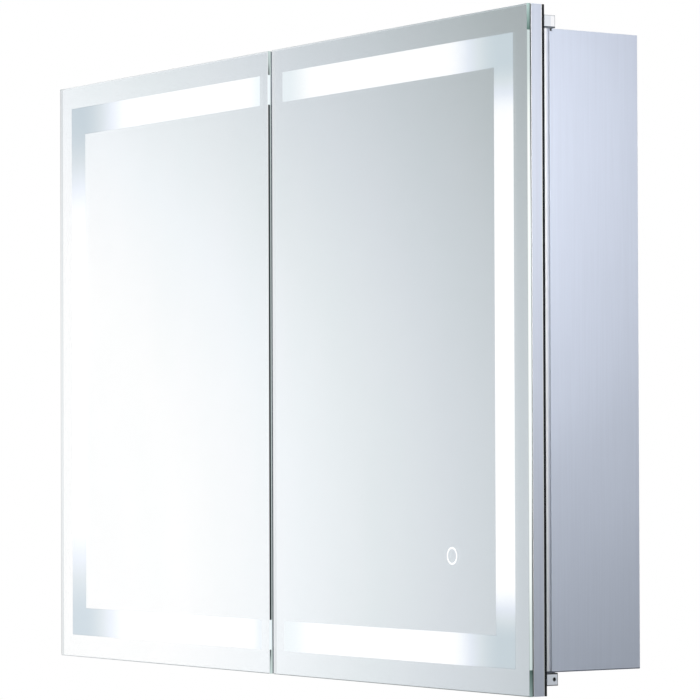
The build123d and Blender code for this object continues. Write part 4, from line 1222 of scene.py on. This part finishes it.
@dataclass(frozen=True)
class Camera:
    """The camera: place, turn from +Y towards -X, tilt up, roll, focal length and middle in image widths."""

    place: Point = (3.1343, -2.1230, -0.1072)
    yaw: float = math.radians(56.297)
    tilt: float = math.radians(0.885)
    roll: float = math.radians(-0.195)
    focal: float = 3507.7 / PICTURE
    middle_below: float = 58.7 / PICTURE
    sensor: float = 36.0
    near: float = 0.05
    far: float = 60.0

    def build(self) -> None:
        """Makes the camera and gives it to the scene."""
        data = bpy.data.cameras.new("camera")
        data.sensor_width = self.sensor
        data.lens = self.focal * self.sensor
        data.shift_y = self.middle_below
        data.clip_start, data.clip_end = self.near, self.far
        camera = bpy.data.objects.new("camera", data)
        bpy.context.scene.collection.objects.link(camera)
        ahead = np.array([-math.sin(self.yaw) * math.cos(self.tilt), math.cos(self.yaw) * math.cos(self.tilt),
                          math.sin(self.tilt)])
        level = np.array([math.cos(self.yaw), math.sin(self.yaw), 0.0])
        upright = np.cross(level, ahead)
        right = math.cos(self.roll) * level + math.sin(self.roll) * upright
        up = -math.sin(self.roll) * level + math.cos(self.roll) * upright
        camera.matrix_world = stand(right, up, -ahead, self.place)
        bpy.context.scene.camera = camera


@dataclass(frozen=True)
class Surroundings:
    """White to the camera, a soft wall of light to the mirrors, and an even light to the rest.

    Fields: the direction where the wall is brightest, the cosine from it at which the wall is dim, the
    even light and its tint, the white behind, and where Y turns from the wall to that white.
    """

    bright_way: Point = (-0.909, -0.416, -0.020)
    dim_from: float = 0.95
    even: float = 0.08
    even_tint: Colour = (0.85, 1.03, 1.12)
    white: float = 1.08
    turn: tuple[float, float] = (-0.2, 0.0)

    GLOW: ClassVar[Stops] = (
        (0.0, (0.36, 0.39, 0.40)), (0.30, (0.40, 0.43, 0.44)), (0.39, (0.45, 0.485, 0.50)),
        (0.48, (0.545, 0.58, 0.605)), (0.56, (0.63, 0.665, 0.70)), (0.645, (0.73, 0.76, 0.80)),
        (0.73, (0.845, 0.875, 0.90)), (0.80, (0.975, 0.99, 1.02)), (0.88, (1.09, 1.07, 1.07)))

    def mirrored(self, graph: Graph, way: Socket) -> Socket:
        """What a mirror shows in a direction: a soft wall of light in front, and white behind.

        Args:
            graph: the graph to add the nodes to.
            way: a direction of length 1.

        Returns:
            The colour.
        """
        dot = graph.node("ShaderNodeVectorMath", operation="DOT_PRODUCT")
        graph.wire(way, dot.inputs[0])
        length = math.sqrt(sum(c * c for c in self.bright_way))
        dot.inputs[1].default_value = tuple(c / length for c in self.bright_way)
        gain = 1.0 / (1.0 - self.dim_from)
        near = graph.math("MULTIPLY", graph.minus(dot.outputs["Value"], self.dim_from), gain, True)
        split = graph.node("ShaderNodeSeparateXYZ")
        graph.wire(way, split.inputs[0])
        return graph.blend(graph.rise(split.outputs[1], *self.turn), graph.ramp(near, *self.GLOW),
                           grey(self.white))

    def build(self) -> None:
        """Makes the world's nodes."""
        world = bpy.data.worlds.new("studio")
        bpy.context.scene.world = world
        world.use_nodes = True
        graph = Graph(world.node_tree)
        glow = self.mirrored(graph, graph.node("ShaderNodeTexCoord").outputs["Generated"])
        rays = graph.node("ShaderNodeLightPath")
        shiny = graph.larger(rays.outputs["Is Glossy Ray"], rays.outputs["Is Transmission Ray"])
        lit = graph.blend(shiny, tuple(self.even * c for c in self.even_tint), glow)
        seen = graph.blend(rays.outputs["Is Camera Ray"], lit, WHITE)
        background = graph.node("ShaderNodeBackground")
        graph.wire(seen, background.inputs["Color"])
        output = graph.node("ShaderNodeOutputWorld")
        graph.wire(background.outputs[0], output.inputs["Surface"])


@dataclass(frozen=True)
class Floor:
    """A pale round floor below the cabinet that runs out to its surroundings at the rim.

    Fields: the surroundings, its height and radius in metres, how much of their tone it has in the
    middle to the camera and to mirrors, the shares of the radius between which that tone takes over,
    and its rings and segments.
    """

    around: Surroundings
    height: float = -0.95
    radius: float = 3.4
    lift: float = 0.38
    whitens: tuple[float, float] = (0.35, 0.97)
    rings: int = 12
    segments: int = 64

    def build(self) -> None:
        """Makes the floor: rings of points r cos t, r sin t about its middle."""
        t = np.linspace(0.0, 2 * math.pi, self.segments, endpoint=False)
        r = np.linspace(0.0, self.radius, self.rings + 1)[1:]
        x, y = np.outer(r, np.cos(t)).ravel(), np.outer(r, np.sin(t)).ravel()
        vertices = np.vstack([[(0.0, 0.0, self.height)],
                              np.column_stack([x, y, np.full(x.size, self.height)])])
        i, j = np.meshgrid(np.arange(self.rings - 1), np.arange(self.segments), indexing="ij")
        j_next = (j + 1) % self.segments
        a, b = 1 + i * self.segments, 1 + (i + 1) * self.segments
        quads = np.stack([a + j, b + j, b + j_next, a + j_next], axis=-1).reshape(-1, 4)
        fan = [(0, 1 + k, 1 + (k + 1) % self.segments) for k in range(self.segments)]
        mesh = bpy.data.meshes.new("floor")
        mesh.from_pydata(vertices.tolist(), [], fan + [tuple(q) for q in quads.tolist()])
        mesh.materials.append(self.paint())
        floor = bpy.data.objects.new("floor", mesh)
        bpy.context.scene.collection.objects.link(floor)

    def paint(self) -> bpy.types.Material:
        """Pale paint in the middle; at the rim white to the camera and the surroundings' tone to mirrors."""
        material, graph = new_graph("floor_paint")
        x, y, _ = graph.axes()
        radius = graph.math("SQRT", graph.plus(graph.times(x, x), graph.times(y, y)))
        rays = graph.node("ShaderNodeLightPath")
        seen = graph.larger(rays.outputs["Is Camera Ray"],
                          graph.larger(rays.outputs["Is Glossy Ray"], rays.outputs["Is Transmission Ray"]))
        inner, outer = (self.radius * share for share in self.whitens)
        whiter = graph.span(graph.rise(radius, inner, outer), self.lift, 1.0)
        rim = graph.times(whiter, seen)
        paint = graph.node("ShaderNodeBsdfDiffuse")
        graph.wire(graph.ramp(graph.noise(3.0, 3.0), (0.3, grey(0.86)), (0.7, grey(0.88))),
                   paint.inputs["Color"])
        way = graph.node("ShaderNodeVectorMath", operation="NORMALIZE")
        graph.wire(graph.place(), way.inputs[0])
        white = graph.node("ShaderNodeEmission")
        graph.wire(graph.blend(rays.outputs["Is Camera Ray"], self.around.mirrored(graph, way.outputs[0]),
                               WHITE), white.inputs["Color"])
        mix = graph.node("ShaderNodeMixShader")
        graph.wire(rim, mix.inputs[0])
        graph.wire(paint.outputs[0], mix.inputs[1])
        graph.wire(white.outputs[0], mix.inputs[2])
        output = graph.node("ShaderNodeOutputMaterial")
        graph.wire(mix.outputs[0], output.inputs["Surface"])
        return material


SIDE_TINT: Colour = (1.02, 0.985, 0.995)
SOFTBOXES: tuple[Softbox, ...] = (
    *(Softbox(f"{side.word}_softbox", (side.value * 0.92, -0.325, 0.205), (side.value * 0.457, -0.10, 0.205),
              0.36, 2.95, SIDE_TINT) for side in (Side.RIGHT, Side.LEFT)),
    Softbox("front_softbox", (-1.0, -3.2, 1.6), (0.0, -0.1, 0.0), 1.6, 110.0),
    Softbox("back_softbox", (-1.6, 2.4, 1.8), (0.0, 0.0, 0.0), 1.4, 34.0),
)


def main() -> None:
    """Builds the cabinet's pieces in order and lights them."""
    logging.basicConfig(level=logging.INFO, format="%(name)s: %(message)s")
    sizes = DoorSizes.from_frame()
    finishes = FinishBook(sizes)
    finishes.build()
    finishes.dress_nodes()
    for side in Side:
        DoorGlass(side, sizes).build()
    Camera().build()
    around = Surroundings()
    around.build()
    Floor(around).build()
    for softbox in SOFTBOXES:
        softbox.build()
    bpy.context.scene.view_settings.view_transform = "Standard"
    bpy.context.view_layer.update()


if __name__ == "__main__":
    main()
